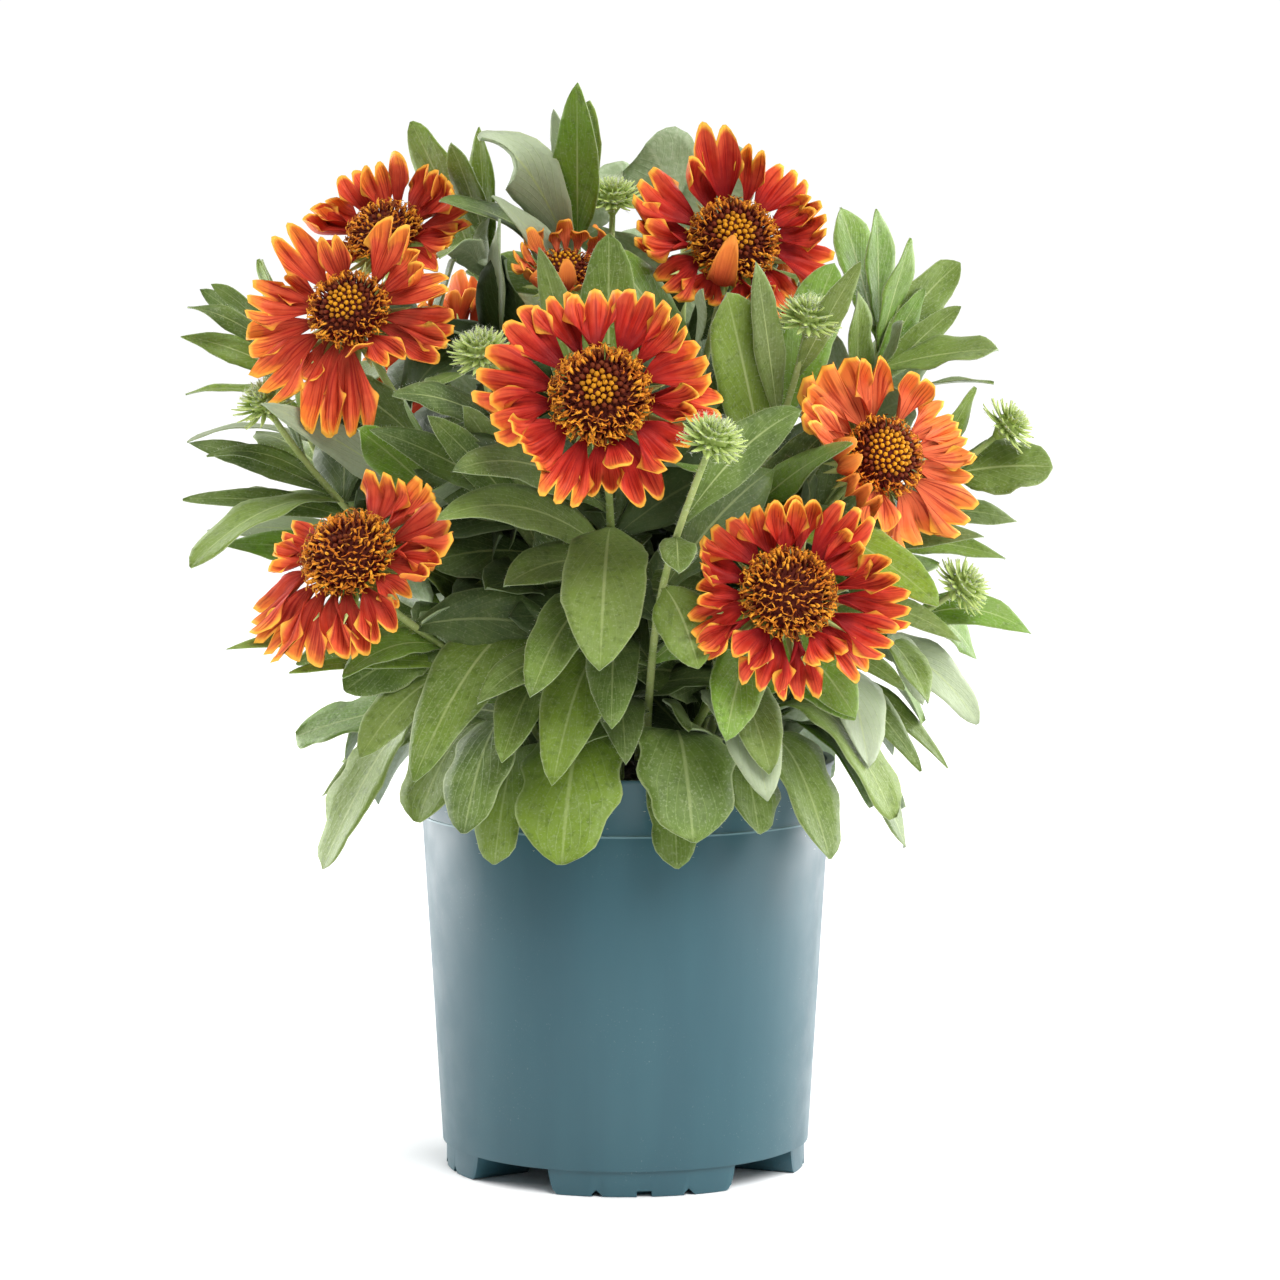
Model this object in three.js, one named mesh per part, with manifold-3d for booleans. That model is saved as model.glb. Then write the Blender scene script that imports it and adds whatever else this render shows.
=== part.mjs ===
// A blanket flower (Gaillardia) in a nursery pot, in millimetres, +Z up.
// The origin is on the floor at the pot's axis, and -Y is the plant's front.
// Each leafy stem, each bloom's rays and each bloom's disc is a solid of its own.
import * as THREE from "three";
import { mergeVertices } from "three/addons/utils/BufferGeometryUtils.js";
import Module from "manifold-3d";

const wasm = await Module();
wasm.setup();

// ---- driving dimensions ----------------------------------------------------
const POT = {
  height: 165,
  lipRadius: 84.5,
  lipHeight: 1.6,
  bandRadius: 81.7, // foot of the rim band, set back behind the body's top edge
  bandHeight: 22,
  shoulderRadius: 82.4,
  heelRadius: 74.4,
  footRadius: 72.9,
  footHeight: 10.2,
  wall: 2,
  floor: 2.4,
  segments: 24,
};
const FEET = { count: 4, arc: 61, turn: 6, rib: 0.6, notch: 2.2, notchTurns: [-14.5, 0, 14.5] };
const DRAIN = { radius: 6, ring: 58, sides: 8 };
const SOIL = { edge: 151, mound: 15, moundRadius: 42, relief: 1.6, rings: 3, segments: 12, slack: 1 };

const GAP = 0.3; // between pieces that touch
const SEAT = 0.7; // round a stem in its hole in the soil
const CLEAR = 0.45; // least way between one stem's leaves and anything of its neighbours
const SMOOTHING = 0.25; // how far fused faces may shift where slivers are merged
const ROOT_DEPTH = 10; // how far a stem goes down into its hole
const STEM = { radius: 2.1, taper: 0.72, sides: 4, steps: 4 };
const BUD_STEM = { ...STEM, radius: 1.9 };
const CROWN = { radius: 3.4, taper: 0.72, sides: 4, steps: 1, height: 9 };
// A leaf's upper face looks up by skyward, out by its distance over spread, and to front or back by lean.
const LEAF = { thickness: 0.9, fold: 0.06, skyward: 0.8, spread: 120, lean: 0.8 };
const RAY = { thickness: 1, fold: 0.16, claw: 3.4, stagger: 1.5, bent: 10 };
const HEAD = { collar: 1.2, collarSides: 6, deck: 8, cup: 9, bracts: 5 };
const DISC = { rings: 3, around: 10, spike: 2.6, rise: 0.52 };
const BUD = { radius: 6, spikes: 4, spikeLength: 7.5 };

// ---- the plant, placed by hand ---------------------------------------------
// A clock angle runs clockwise from the top of a bloom, seen from its front. A ray is
// [clock, reach, lift, width]: how far out and how far forward of the collar its tip is.
const BLOOMS = {
  1: {
    centre: [-9, -130, 316], facing: [-2, 22], disc: 19.5, root: [-2, -30],
    rays: [
      [-5, 44, 9, 20], [22, 45, 8, 16], [43, 43, 9, 16], [65, 45, 7, 17], [88, 46, 4, 13], [104, 38, 11, 10],
      [125, 38, 3, 17], [150, 46, -4, 15], [163, 31, 12, 9],
      [175, 37, 1, 12], [202, 43, -5, 14], [232, 37, 3, 18],
      [257, 45, 4, 17], [283, 47, 5, 18], [306, 45, 9, 13], [331, 45, 8, 18],
    ],
  },
  2: {
    centre: [-98, 0, 380], facing: [-22, 48], disc: 16, root: [-23, 0],
    rays: [
      [2, 30, 22, 10], [30, 34, 15, 12], [51, 36, 11, 13], [73, 35, 6, 12], [98, 30, 5, 13], [126, 30, 2, 13],
      [222, 34, 2, 13], [250, 38, 4, 14], [275, 36, 7, 13],
      [298, 34, 10, 13], [322, 32, 14, 13], [344, 28, 17, 10],
    ],
  },
  3: {
    centre: [-108, -60, 348], facing: [-12, 30], disc: 16.5, root: [-25, -14],
    rays: [
      [32, 36, 15, 12], [53, 35, 9, 13], [75, 41, 4, 13],
      [96, 45, 0, 15], [114, 42, -4, 12], [135, 28, 4, 11],
      [158, 24, 9, 9], [172, 47, -14, 15], [192, 46, -15, 14], [209, 32, -3, 10], [228, 46, -8, 18],
      [251, 43, -3, 15], [274, 44, 2, 15], [294, 34, 8, 12], [313, 39, 14, 13], [338, 27, 17, 11],
    ],
  },
  4: {
    centre: [-24, -10, 366], facing: [0, 58], disc: 12, root: [-5, -5],
    rays: [
      [0, 17, 12, 7], [33, 18, 11, 7], [66, 20, 10, 7], [98, 22, 9, 7], [130, 20, 10, 7], [163, 18, 11, 7],
      [196, 18, 11, 7], [229, 20, 10, 7], [262, 22, 9, 7], [295, 20, 10, 7], [328, 18, 11, 7],
    ],
  },
  5: {
    centre: [43, -40, 375], facing: [6, 30], disc: 18.5, root: [5, -12],
    rays: [
      [351, 38, 20, 13], [332, 39, 14, 15], [304, 46, 8, 18],
      [283, 41, 5, 13], [264, 37, 5, 15], [238, 36, -1, 17],
      [215, 28, -3, 14], [196, 9, 17, 9], [177, 27, -4, 14], [152, 27, -3, 12], [133, 35, -6, 13],
      [104, 40, 1, 15], [82, 37, 6, 13], [62, 37, 9, 13], [42, 38, 14, 14], [20, 35, 20, 10],
    ],
  },
  6: {
    centre: [102, -70, 291], facing: [24, 20], disc: 16.5, root: [26, -20],
    rays: [
      [354, 35, 12, 13], [333, 41, 10, 20], [306, 43, 12, 15],
      [284, 36, 20, 10], [262, 21, 20, 11], [226, 24, 17, 13],
      [198, 29, 6, 13], [152, 38, 0, 18], [130, 41, 3, 17], [106, 40, 5, 17],
      [82, 40, 4, 17], [59, 40, 5, 17], [36, 38, 7, 13],
    ],
  },
  7: {
    centre: [62, -125, 242], facing: [6, 26], disc: 18.5, root: [17, -30],
    rays: [
      [-1, 37, 10, 12], [17, 37, 10, 13], [38, 39, 9, 14], [61, 35, 10, 16], [81, 43, 6, 10], [98, 45, 1, 16],
      [115, 43, -3, 14], [133, 43, -6, 14], [150, 31, 3, 14],
      [171, 38, -8, 16], [195, 37, -8, 15], [214, 31, 2, 14],
      [236, 38, -3, 12], [253, 39, 0, 14], [270, 36, 3, 12],
      [292, 39, 5, 16], [316, 38, 8, 13], [337, 36, 12, 14],
    ],
  },
  8: {
    centre: [-106, -105, 256], facing: [-25, 40], disc: 19, root: [-22, -28],
    rays: [
      [16, 36, 8, 18], [42, 38, 7, 16], [62, 42, 4, 13], [80, 35, 6, 14], [99, 37, 0, 14], [122, 31, 0, 12],
      [142, 36, -8, 14], [164, 37, -14, 14], [185, 36, -16, 13], [204, 42, -18, 13], [222, 46, -15, 14],
      [244, 45, -6, 15], [266, 36, 0, 15], [287, 34, 4, 13],
    ],
  },
  9: { centre: [60, 110, 346], facing: [155, 32], disc: 17, root: [15, 27], reach: 41 },
  10: { centre: [-75, 112, 326], facing: [-148, 28], disc: 18, root: [-15, 28], reach: 43 },
  11: { centre: [-12, 148, 256], facing: [176, 28], disc: 17, root: [-1, 38], reach: 40 },
};
const EVEN_RAYS = 10; // on a bloom whose rays are only given a reach

// The lobed edge of a ray: [share of the width to the right, share of the length].
const RAY_LOBES = {
  broad: 16,
  two: [[-0.24, 0.98], [0, 0.91], [0.24, 1]],
  three: [[-0.32, 0.97], [-0.16, 0.9], [0, 1], [0.17, 0.9], [0.33, 0.96]],
};

const BUDS = {
  a: { centre: [33, -158, 300], facing: [38, 58], root: [7, -37] },
  b: { centre: [-55, -84, 331], facing: [-10, 55], root: [-12, -18] },
  c: { centre: [-142, -40, 310], facing: [-40, 50], root: [-35, -9] },
  d: { centre: [71, -70, 344], facing: [20, 65], root: [14, -19] },
  e: { centre: [154, -10, 300], facing: [80, 40], root: [38, 0] },
  f: { centre: [134, -40, 238], facing: [60, 35], root: [35, -12] },
  g: { centre: [-5, 20, 392], facing: [10, 75], root: [6, 4] },
  h: { centre: [112, 84, 322], facing: [130, 50], root: [28, 17] },
  i: { centre: [-128, 70, 300], facing: [-120, 45], root: [-28, 18] },
};

const SHOOTS = {
  1: { top: [-20, 26, 392], root: [-3, 13] },
  2: { top: [24, 40, 378], root: [9, 15] },
  3: { top: [-56, 18, 374], root: [-13, 7] },
  4: { top: [103, 12, 340], root: [25, 4] },
  5: { top: [-134, 16, 324], root: [-34, 7] },
  6: { top: [-8, 96, 350], root: [-2, 26] },
};

const TUFTS = {
  1: [-11, -47], 2: [15, -48], 3: [38, -35], 4: [50, -11], 5: [48, 22],
  6: [24, 47], 7: [-24, 46], 8: [-49, 20], 9: [-34, -40],
};

// A leaf is [stem, height of its node, [tip], width, arch, roll, shape].
const LEAVES = [
  // top of the plant
  ["shoot_1", 370, [-19, -20, 435], 18, -0.05, 0, "slim"],
  ["shoot_1", 376, [-5, -21, 424], 14, 0, 0, "round"],
  ["shoot_1", 384, [-29, 10, 426], 9, 0, 0, "slim"],
  ["shoot_1", 352, [-48, -30, 384], 12, 0.1, 0, "slim"],
  ["shoot_1", 357, [-57, -24, 413], 22, 0.35, 0, "lance"],
  ["shoot_1", 362, [-64, -26, 400], 17, 0.15, 0, "slim"],
  ["shoot_3", 364, [-59, 10, 419], 13, 0, 0, "slim"],
  ["shoot_3", 370, [-72, -2, 412], 14, 0.1, 0, "slim"],
  ["shoot_3", 356, [-80, -58, 366], 13, 0.22, 0, "slim"],
  ["shoot_3", 330, [-49, -50, 381], 17, 0.05, 0, "slim"],
  ["shoot_3", 350, [-86, 32, 422], 20, 0.05, 0, "lance"],
  ["shoot_2", 372, [8, 35, 413], 32, 0.36, 0, "round"],
  ["shoot_2", 366, [53, 26, 407], 24, 0.3, 0, "round"],
  ["stem_2", 352, [-80, -44, 396], 10, 0.1, 0, "slim"],
  // between the blooms
  ["stem_1", 280, [-6, -76, 375], 21, 0.05, 0, "round"],
  ["stem_1", 270, [-33, -72, 370], 15, 0.05, 0, "slim"],
  ["stem_5", 318, [6, -62, 382], 20, 0.05, 0, "lance"],
  ["bud_d", 285, [39, -86, 352], 24, 0.05, 0, "round"],
  ["stem_5", 300, [30, -90, 354], 15, 0.05, 0, "slim"],
  ["bud_d", 300, [46, -90, 364], 12, 0.05, 0, "slim"],
  ["bud_d", 318, [90, -86, 364], 11, 0.05, 0, "slim"],
  ["bud_d", 296, [82, -44, 364], 22, 0.1, 0, "lance"],
  ["bud_a", 266, [66, -128, 309], 17, 0.2, 0, "slim"],
  ["bud_d", 262, [86, -105, 296], 13, 0.1, 0, "slim"],
  ["bud_d", 268, [121, -112, 247], 22, 0.16, 0, "lance"],
  ["bud_a", 262, [20, -152, 250], 13, 0.1, 0, "slim"],
  ["bud_b", 302, [-88, -95, 314], 13, 0.15, 0, "slim"],
  ["bud_b", 268, [-98, -74, 300], 14, 0.1, 0, "slim"],
  ["bud_b", 262, [-74, -102, 306], 13, 0.05, 0, "slim"],
  ["stem_1", 268, [-64, -122, 286], 18, 0.25, 0, "slim"],
  ["stem_1", 250, [-70, -120, 268], 18, 0.25, 0, "slim"],
  // right side
  ["shoot_4", 328, [114, -12, 374], 18, 0.05, 0, "slim"],
  ["shoot_4", 336, [101, 2, 386], 18, 0.05, 0, "slim"],
  ["shoot_4", 332, [87, 12, 387], 23, 0.05, 0, "lance"],
  ["shoot_4", 318, [121, 12, 354], 14, 0.05, 0, "slim"],
  ["shoot_4", 312, [136, 16, 347], 12, 0.1, 0, "slim"],
  ["shoot_4", 322, [151, -2, 330], 22, 0.06, 0, "lance"],
  ["shoot_4", 306, [146, -26, 317], 13, 0.15, 0, "slim"],
  ["shoot_4", 309, [110, -30, 341], 13, 0.1, 0, "slim"],
  ["shoot_4", 296, [92, -30, 353], 18, 0, 0, "slim"],
  ["bud_e", 280, [171, -12, 283], 27, 0.08, 0, "round"],
  ["bud_e", 268, [139, -26, 315], 16, 0.05, 0, "slim"],
  ["stem_6", 250, [141, -44, 257], 15, 0.1, 0, "slim"],
  ["bud_e", 262, [159, 12, 260], 13, 0.15, 0, "slim"],
  ["bud_e", 250, [153, -6, 246], 12, 0.15, 0, "slim"],
  ["bud_f", 222, [162, -22, 217], 15, 0.3, 0, "slim"],
  ["bud_f", 212, [141, -24, 181], 20, 0.36, 0, "lance"],
  ["bud_f", 198, [131, 4, 160], 11, 0.3, 0, "slim"],
  ["bud_f", 216, [119, -52, 192], 17, 0.3, 0, "slim"],
  ["bud_f", 206, [95, -64, 168], 23, 0.35, 0, "lance"],
  ["bud_f", 226, [142, 0, 205], 15, 0.2, 0, "slim"],
  ["bud_f", 218, [118, -46, 192], 16, 0.3, 0, "slim"],
  ["bud_f", 196, [117, -42, 164], 16, 0.4, 0, "slim"],
  ["stem_7", 212, [88, -97, 190], 20, 0.3, 0, "lance"],
  ["stem_7", 218, [38, -126, 185], 20, 0.3, 0, "lance"],
  ["bud_a", 242, [28, -124, 212], 20, 0.25, 0, "lance"],
  // front, falling over the rim
  ["stem_1", 262, [-9, -142, 213], 30, 0.25, 0, "lance"],
  ["stem_1", 232, [-35, -130, 202], 20, 0.3, 0, "lance"],
  ["stem_1", 212, [-27, -122, 168], 24, 0.4, 0, "lance"],
  ["tuft_1", 156, [-24, -110, 136], 36, 1.05, 0, "basal"],
  ["tuft_2", 156, [26, -113, 145], 34, 1, 0, "basal"],
  ["tuft_2", 153, [20, -99, 133], 22, 1.2, 0, "toothed"],
  ["stem_7", 192, [54, -122, 162], 24, 0.5, 0, "lance"],
  ["tuft_3", 156, [79, -86, 135], 26, 1, 0, "basal"],
  ["tuft_3", 153, [62, -93, 137], 22, 0.75, 0, "basal"],
  ["tuft_3", 158, [101, -72, 148], 27, 1.05, 0, "basal"],
  ["tuft_4", 156, [111, -44, 134], 30, 1, 0, "toothed"],
  // left side
  ["bud_b", 225, [-80, -110, 168], 27, 0.35, 0, "lance"],
  ["tuft_9", 156, [-61, -110, 148], 25, 0.95, 0, "basal"],
  ["tuft_9", 153.5, [-50, -94, 134], 24, 1.05, 0, "toothed"],
  ["tuft_9", 158, [-80, -84, 149], 27, 1, 0, "basal"],
  ["stem_8", 207, [-119, -56, 127], 28, 0.3, 0, "toothed"],
  ["stem_8", 198, [-120, -40, 154], 13, 0.15, 0, "slim"],
  ["stem_8", 192, [-135, -24, 175], 30, 0.1, 0, "basal"],
  ["stem_8", 214, [-109, -66, 198], 24, 0.2, 0, "lance"],
  ["stem_8", 204, [-102, -84, 174], 20, 0.35, 0, "lance"],
  ["bud_b", 204, [-47, -121, 188], 20, 0.3, 0, "lance"],
  ["bud_c", 270, [-169, -62, 246], 22, 0.25, 0, "lance"],
  ["bud_c", 262, [-175, -32, 271], 11, 0.1, 0, "slim"],
  ["bud_c", 284, [-172, -32, 312], 10, 0.05, 0, "slim"],
  ["bud_c", 272, [-174, -18, 293], 10, 0.1, 0, "slim"],
  ["shoot_5", 305, [-176, -20, 336], 12, 0.1, 0, "slim"],
  ["shoot_5", 313, [-175, -4, 348], 14, 0.1, 0, "slim"],
  ["shoot_5", 321, [-149, 16, 366], 13, 0.05, 0, "slim"],
  ["shoot_5", 319, [-174, 32, 354], 12, 0.1, 0, "slim"],
  ["stem_8", 232, [-159, -22, 212], 12, 0.2, 0, "slim"],
  ["stem_8", 222, [-128, -62, 208], 15, 0.2, 0, "slim"],
  ["stem_8", 215, [-108, -92, 206], 15, 0.25, 0, "slim"],
  // low and middle, between the stems
  ["shoot_3", 318, [-79, -40, 314], 17, 0.15, 0, "slim"],
  ["shoot_1", 300, [-47, -45, 338], 18, 0.15, 0, "slim"],
  ["bud_b", 246, [-56, -92, 309], 16, 0.15, 0, "slim"],
  ["stem_5", 290, [66, -36, 335], 19, 0.1, 0, "lance"],
  ["bud_d", 236, [83, -62, 303], 18, 0.15, 0, "slim"],
  ["stem_5", 215, [-25, -84, 285], 17, 0.2, 0, "slim"],
  ["stem_1", 236, [25, -128, 216], 21, 0.25, 0, "lance"],
  ["stem_7", 196, [54, -118, 164], 21, 0.4, 0, "lance"],
  ["stem_1", 190, [37, -112, 183], 17, 0.3, 0, "slim"],
  ["stem_7", 205, [43, -104, 190], 17, 0.3, 0, "slim"],
  ["stem_7", 222, [88, -100, 191], 20, 0.3, 0, "lance"],
  ["tuft_4", 153, [99, -60, 150], 17, 0.55, 0, "basal"],
  ["stem_1", 200, [-55, -112, 187], 17, 0.3, 0, "slim"],
  ["stem_3", 215, [-98, -70, 249], 15, 0.2, 0, "slim"],
  ["stem_3", 236, [-127, -60, 233], 15, 0.2, 0, "slim"],
  ["stem_1", 216, [-5, -118, 189], 19, 0.35, 0, "lance"],
  ["stem_5", 262, [29, -92, 285], 20, 0.2, 0, "lance"],
  ["stem_5", 240, [56, -88, 266], 18, 0.2, 0, "slim"],
  ["stem_3", 262, [-78, -84, 285], 15, 0.1, 0, "slim"],
  ["stem_3", 250, [-140, -70, 310], 14, 0.1, 0, "slim"],
  ["stem_3", 256, [-96, -76, 300], 19, 0.05, 0, "lance"],
  ["stem_3", 270, [-76, -88, 307], 13, 0, 0, "slim"],
  ["stem_2", 330, [-68, -24, 365], 18, 0.1, 0, "slim"],
  ["stem_1", 246, [-46, -95, 241], 18, 0.2, 0, "slim"],
  ["bud_c", 240, [-162, -10, 252], 15, 0.1, 0, "slim"],
  ["shoot_5", 250, [-171, 20, 256], 13, 0.1, 0, "slim"],
  ["stem_6", 205, [108, -78, 200], 17, 0.3, 0, "slim"],
  ["stem_6", 226, [131, -60, 217], 15, 0.25, 0, "slim"],
];

// Leaves by rule: [stem, count, lowest node, highest node, length, width, spread in degrees].
const FILL = [
  ["shoot_1", 3, 320, 384, 50, 20, 360],
  ["shoot_2", 5, 300, 374, 60, 23, 260],
  ["shoot_3", 4, 300, 368, 56, 22, 360],
  ["shoot_4", 5, 250, 330, 64, 23, 300],
  ["shoot_5", 5, 230, 318, 62, 22, 300],
  ["shoot_6", 8, 220, 346, 69, 25, 200],
  ["stem_9", 7, 190, 320, 73, 26, 240],
  ["stem_10", 7, 180, 300, 75, 26, 240],
  ["stem_11", 7, 179, 241, 67, 26, 220],
  ["bud_h", 6, 190, 308, 69, 25, 240],
  ["bud_i", 6, 180, 288, 69, 25, 240],
  ["bud_e", 4, 200, 280, 62, 22, 220],
  ["bud_g", 2, 330, 384, 48, 20, 360],
  ["stem_5", 5, 190, 345, 60, 23, 300],
  ["stem_2", 5, 230, 350, 60, 22, 260],
  ["stem_3", 5, 190, 300, 62, 23, 220],
  ["stem_6", 5, 185, 262, 64, 23, 240],
  ["stem_4", 4, 240, 345, 56, 21, 360],
  ["bud_c", 3, 200, 250, 62, 21, 200],
  ["bud_a", 3, 180, 240, 60, 23, 200],
  ["bud_d", 3, 200, 250, 60, 23, 240],
  ["stem_7", 2, 176, 190, 60, 23, 160],
  ["stem_8", 3, 174, 230, 60, 23, 200],
];

// Basal leaves by rule: [tuft, count, reach of the tips from the pot's axis, height of the tips].
const BASAL_FILL = [
  ["tuft_5", 5, 112, 138], ["tuft_6", 5, 113, 140], ["tuft_7", 5, 113, 138], ["tuft_8", 5, 114, 142],
  ["tuft_4", 2, 116, 150],
];

// How a leaf gives way to its neighbours: [turn, lift in degrees, length], the first that is clear.
const WAYS = [
  [0, 0, 1], [6, 0, 1], [-6, 0, 1], [0, 7, 1], [0, -7, 1], [10, 8, 0.96], [-10, 8, 0.96], [10, -8, 0.96],
  [-10, -8, 0.96], [0, 0, 0.85], [18, 0, 0.9], [-18, 0, 0.9], [0, 15, 0.9], [0, -14, 0.9], [26, 10, 0.85],
  [-26, 10, 0.85], [26, -8, 0.85], [-26, -8, 0.85], [0, 0, 0.7], [38, 0, 0.75], [-38, 0, 0.75], [0, 24, 0.75],
];

const BLADE_FROM = 0.25; // share of a leaf's length that may touch its own stem's other leaves

// Outlines: [share of the length, share of the width] from the root, before the tip.
const OUTLINES = {
  lance: { hangs: false, stations: [[0, 0.12], [0.3, 0.8], [0.58, 1], [0.83, 0.66]] },
  slim: { hangs: false, stations: [[0, 0.14], [0.38, 0.95], [0.74, 0.8]] },
  round: { hangs: false, stations: [[0, 0.1], [0.3, 0.9], [0.6, 1], [0.88, 0.7]] },
  basal: { hangs: true, stations: [[0, 0.09], [0.36, 0.34], [0.63, 0.97], [0.88, 0.86]] },
  toothed: {
    hangs: true,
    stations: [
      [0, 0.09], [0.36, 0.36], [0.52, 0.92], [0.56, 0.7], [0.7, 1], [0.74, 0.78], [0.86, 0.86], [0.9, 0.6],
    ],
  },
};

// ---- materials ---------------------------------------------------------------
const finish = (color, roughness) => new THREE.MeshStandardMaterial({ color, roughness, metalness: 0 });
const MATERIALS = {
  pot: finish(0x3f6f79, 0.42),
  soil: finish(0x2b211b, 0.95),
  stem: finish(0x6f8a4c, 0.75),
  leaf: finish(0x5f7a45, 0.7),
  rays: finish(0xd9471f, 0.6),
  disc: finish(0x8a3b12, 0.8),
};

// ---- helpers -----------------------------------------------------------------
const vec = (x, y, z) => new THREE.Vector3(x, y, z);
const rad = THREE.MathUtils.degToRad;
const UP = vec(0, 0, 1);

/** A fixed draw between 0 and 1 for a whole number. */
function chance(n) {
  const v = Math.sin(n * 12.9898 + 4.1) * 43758.5453;
  return v - Math.floor(v);
}

/** The point at a, b and c along three directions from an origin. */
function along(origin, x, a, y, b, z, c) {
  return origin.clone().addScaledVector(x, a).addScaledVector(y, b).addScaledVector(z, c);
}

/** A three.js geometry as a solid. */
function solid(geometry) {
  const plain = geometry.clone();
  plain.deleteAttribute("normal");
  plain.deleteAttribute("uv");
  const merged = mergeVertices(plain, 1e-4);
  return new wasm.Manifold(
    new wasm.Mesh({
      numProp: 3,
      vertProperties: new Float32Array(merged.attributes.position.array),
      triVerts: new Uint32Array(merged.index.array),
    }),
  );
}

/** The largest body of a fused solid, without slivers, scraps or sealed hollows, as a geometry. */
function geometryOf(fused) {
  const bodies = fused.asOriginal().simplify(SMOOTHING).decompose();
  bodies.sort((a, b) => b.volume() - a.volume());
  const mesh = bodies[0].getMesh();
  const geometry = new THREE.BufferGeometry();
  geometry.setAttribute("position", new THREE.BufferAttribute(mesh.vertProperties, 3));
  geometry.setIndex(new THREE.BufferAttribute(mesh.triVerts, 1));
  return geometry;
}

/**
 * A closed skin over rings of points that turn right-handed about the way they run. The end is
 * flat, or one point, or, on blade rings, a lobed edge whose points are tips and notches in turn.
 */
function skin(rings, rim = []) {
  const sides = rings[0].length;
  const faces = [];
  for (let i = 2; i < sides; i += 1) faces.push(0, i, i - 1);
  for (let row = 1; row < rings.length; row += 1) {
    for (let i = 0; i < sides; i += 1) {
      const a = (row - 1) * sides + i;
      const b = (row - 1) * sides + ((i + 1) % sides);
      if (i < sides / 2) faces.push(a, b, a + sides, b, b + sides, a + sides);
      else faces.push(a, b, b + sides, a, b + sides, a + sides);
    }
  }
  const left = (rings.length - 1) * sides;
  if (rim.length === 0) {
    for (let i = 2; i < sides; i += 1) faces.push(left, left + i - 1, left + i);
  } else if (rim.length === 1) {
    for (let i = 0; i < sides; i += 1) faces.push(left + i, left + ((i + 1) % sides), left + sides);
  } else {
    const edge = [left, ...rim.map((_, k) => left + sides + k), left + 1];
    for (let k = 1; k < edge.length; k += 1) faces.push(left + 2, edge[k - 1], edge[k]);
    for (let k = 1; k < edge.length - 1; k += 2) {
      faces.push(edge[k - 1], edge[k + 1], edge[k]);
      if (k > 1) faces.push(left, edge[k + 1], edge[k - 1]);
    }
  }
  const geometry = new THREE.BufferGeometry().setFromPoints([...rings.flat(), ...rim]);
  geometry.setIndex(faces);
  return solid(geometry);
}

/** A blade's section: left edge, right edge and keel, the edges folded up by a share of the width. */
function bladeRing(point, side, normal, width, thickness, fold) {
  const half = width / 2;
  return [
    along(point, side, -half, normal, half * fold, UP, 0),
    along(point, side, half, normal, half * fold, UP, 0),
    along(point, side, 0, normal, -thickness, UP, 0),
  ];
}

/** A ring of points round an axis. */
function circle(origin, x, y, radius, sides) {
  return Array.from({ length: sides }, (_, i) => {
    const turn = (2 * Math.PI * i) / sides;
    return along(origin, x, radius * Math.cos(turn), y, radius * Math.sin(turn), UP, 0);
  });
}

// ---- pot and soil --------------------------------------------------------------
/** A profile of [radius, height] pairs turned about the Z axis. */
function turned(profile, segments) {
  const points = profile.map(([r, z]) => new THREE.Vector2(r, z));
  return solid(new THREE.LatheGeometry(points, segments).rotateX(Math.PI / 2));
}

function place(geometry, turn, radius, z) {
  return solid(geometry.translate(radius, 0, z).rotateZ(rad(turn)));
}

/** The foot ring is cut into feet, and each foot has small notches along its lower edge. */
function footCuts() {
  const cuts = [];
  const gap = 360 / FEET.count - FEET.arc;
  const depth = POT.footHeight - FEET.rib + 1;
  for (let k = 0; k < FEET.count; k += 1) {
    const foot = -90 + FEET.turn + (k * 360) / FEET.count;
    const shape = new THREE.Shape();
    shape.absarc(0, 0, POT.heelRadius + 4, rad(-gap / 2), rad(gap / 2), false);
    shape.absarc(0, 0, POT.footRadius - 6, rad(gap / 2), rad(-gap / 2), true);
    const wedge = new THREE.ExtrudeGeometry(shape, { depth, bevelEnabled: false, curveSegments: 4 });
    cuts.push(solid(wedge.translate(0, 0, -1).rotateZ(rad(foot + 180 / FEET.count))));
    for (const turn of FEET.notchTurns) {
      const width = turn === 0 ? 6 : 3;
      const notch = new THREE.BoxGeometry(12, width, 2 * FEET.notch);
      if (turn !== 0) notch.rotateX(Math.PI / 4);
      cuts.push(place(notch, foot + turn, POT.footRadius, 0));
    }
  }
  return cuts;
}

function drainCuts() {
  const { radius, ring, sides } = DRAIN;
  const hole = () => new THREE.CylinderGeometry(radius, radius, 20, sides).rotateX(Math.PI / 2);
  const cuts = [place(hole(), 0, 0, POT.footHeight)];
  for (let k = 0; k < FEET.count; k += 1) {
    const turn = -90 + FEET.turn + ((k + 0.5) * 360) / FEET.count;
    cuts.push(place(hole(), turn, ring, POT.footHeight));
  }
  return cuts;
}

/** The inner wall's radius at a height. */
function innerRadius(z) {
  const rise = (POT.shoulderRadius - POT.heelRadius) / (POT.height - POT.bandHeight - POT.footHeight);
  return Math.min(POT.heelRadius + rise * (z - POT.footHeight), POT.bandRadius) - POT.wall;
}

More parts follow.
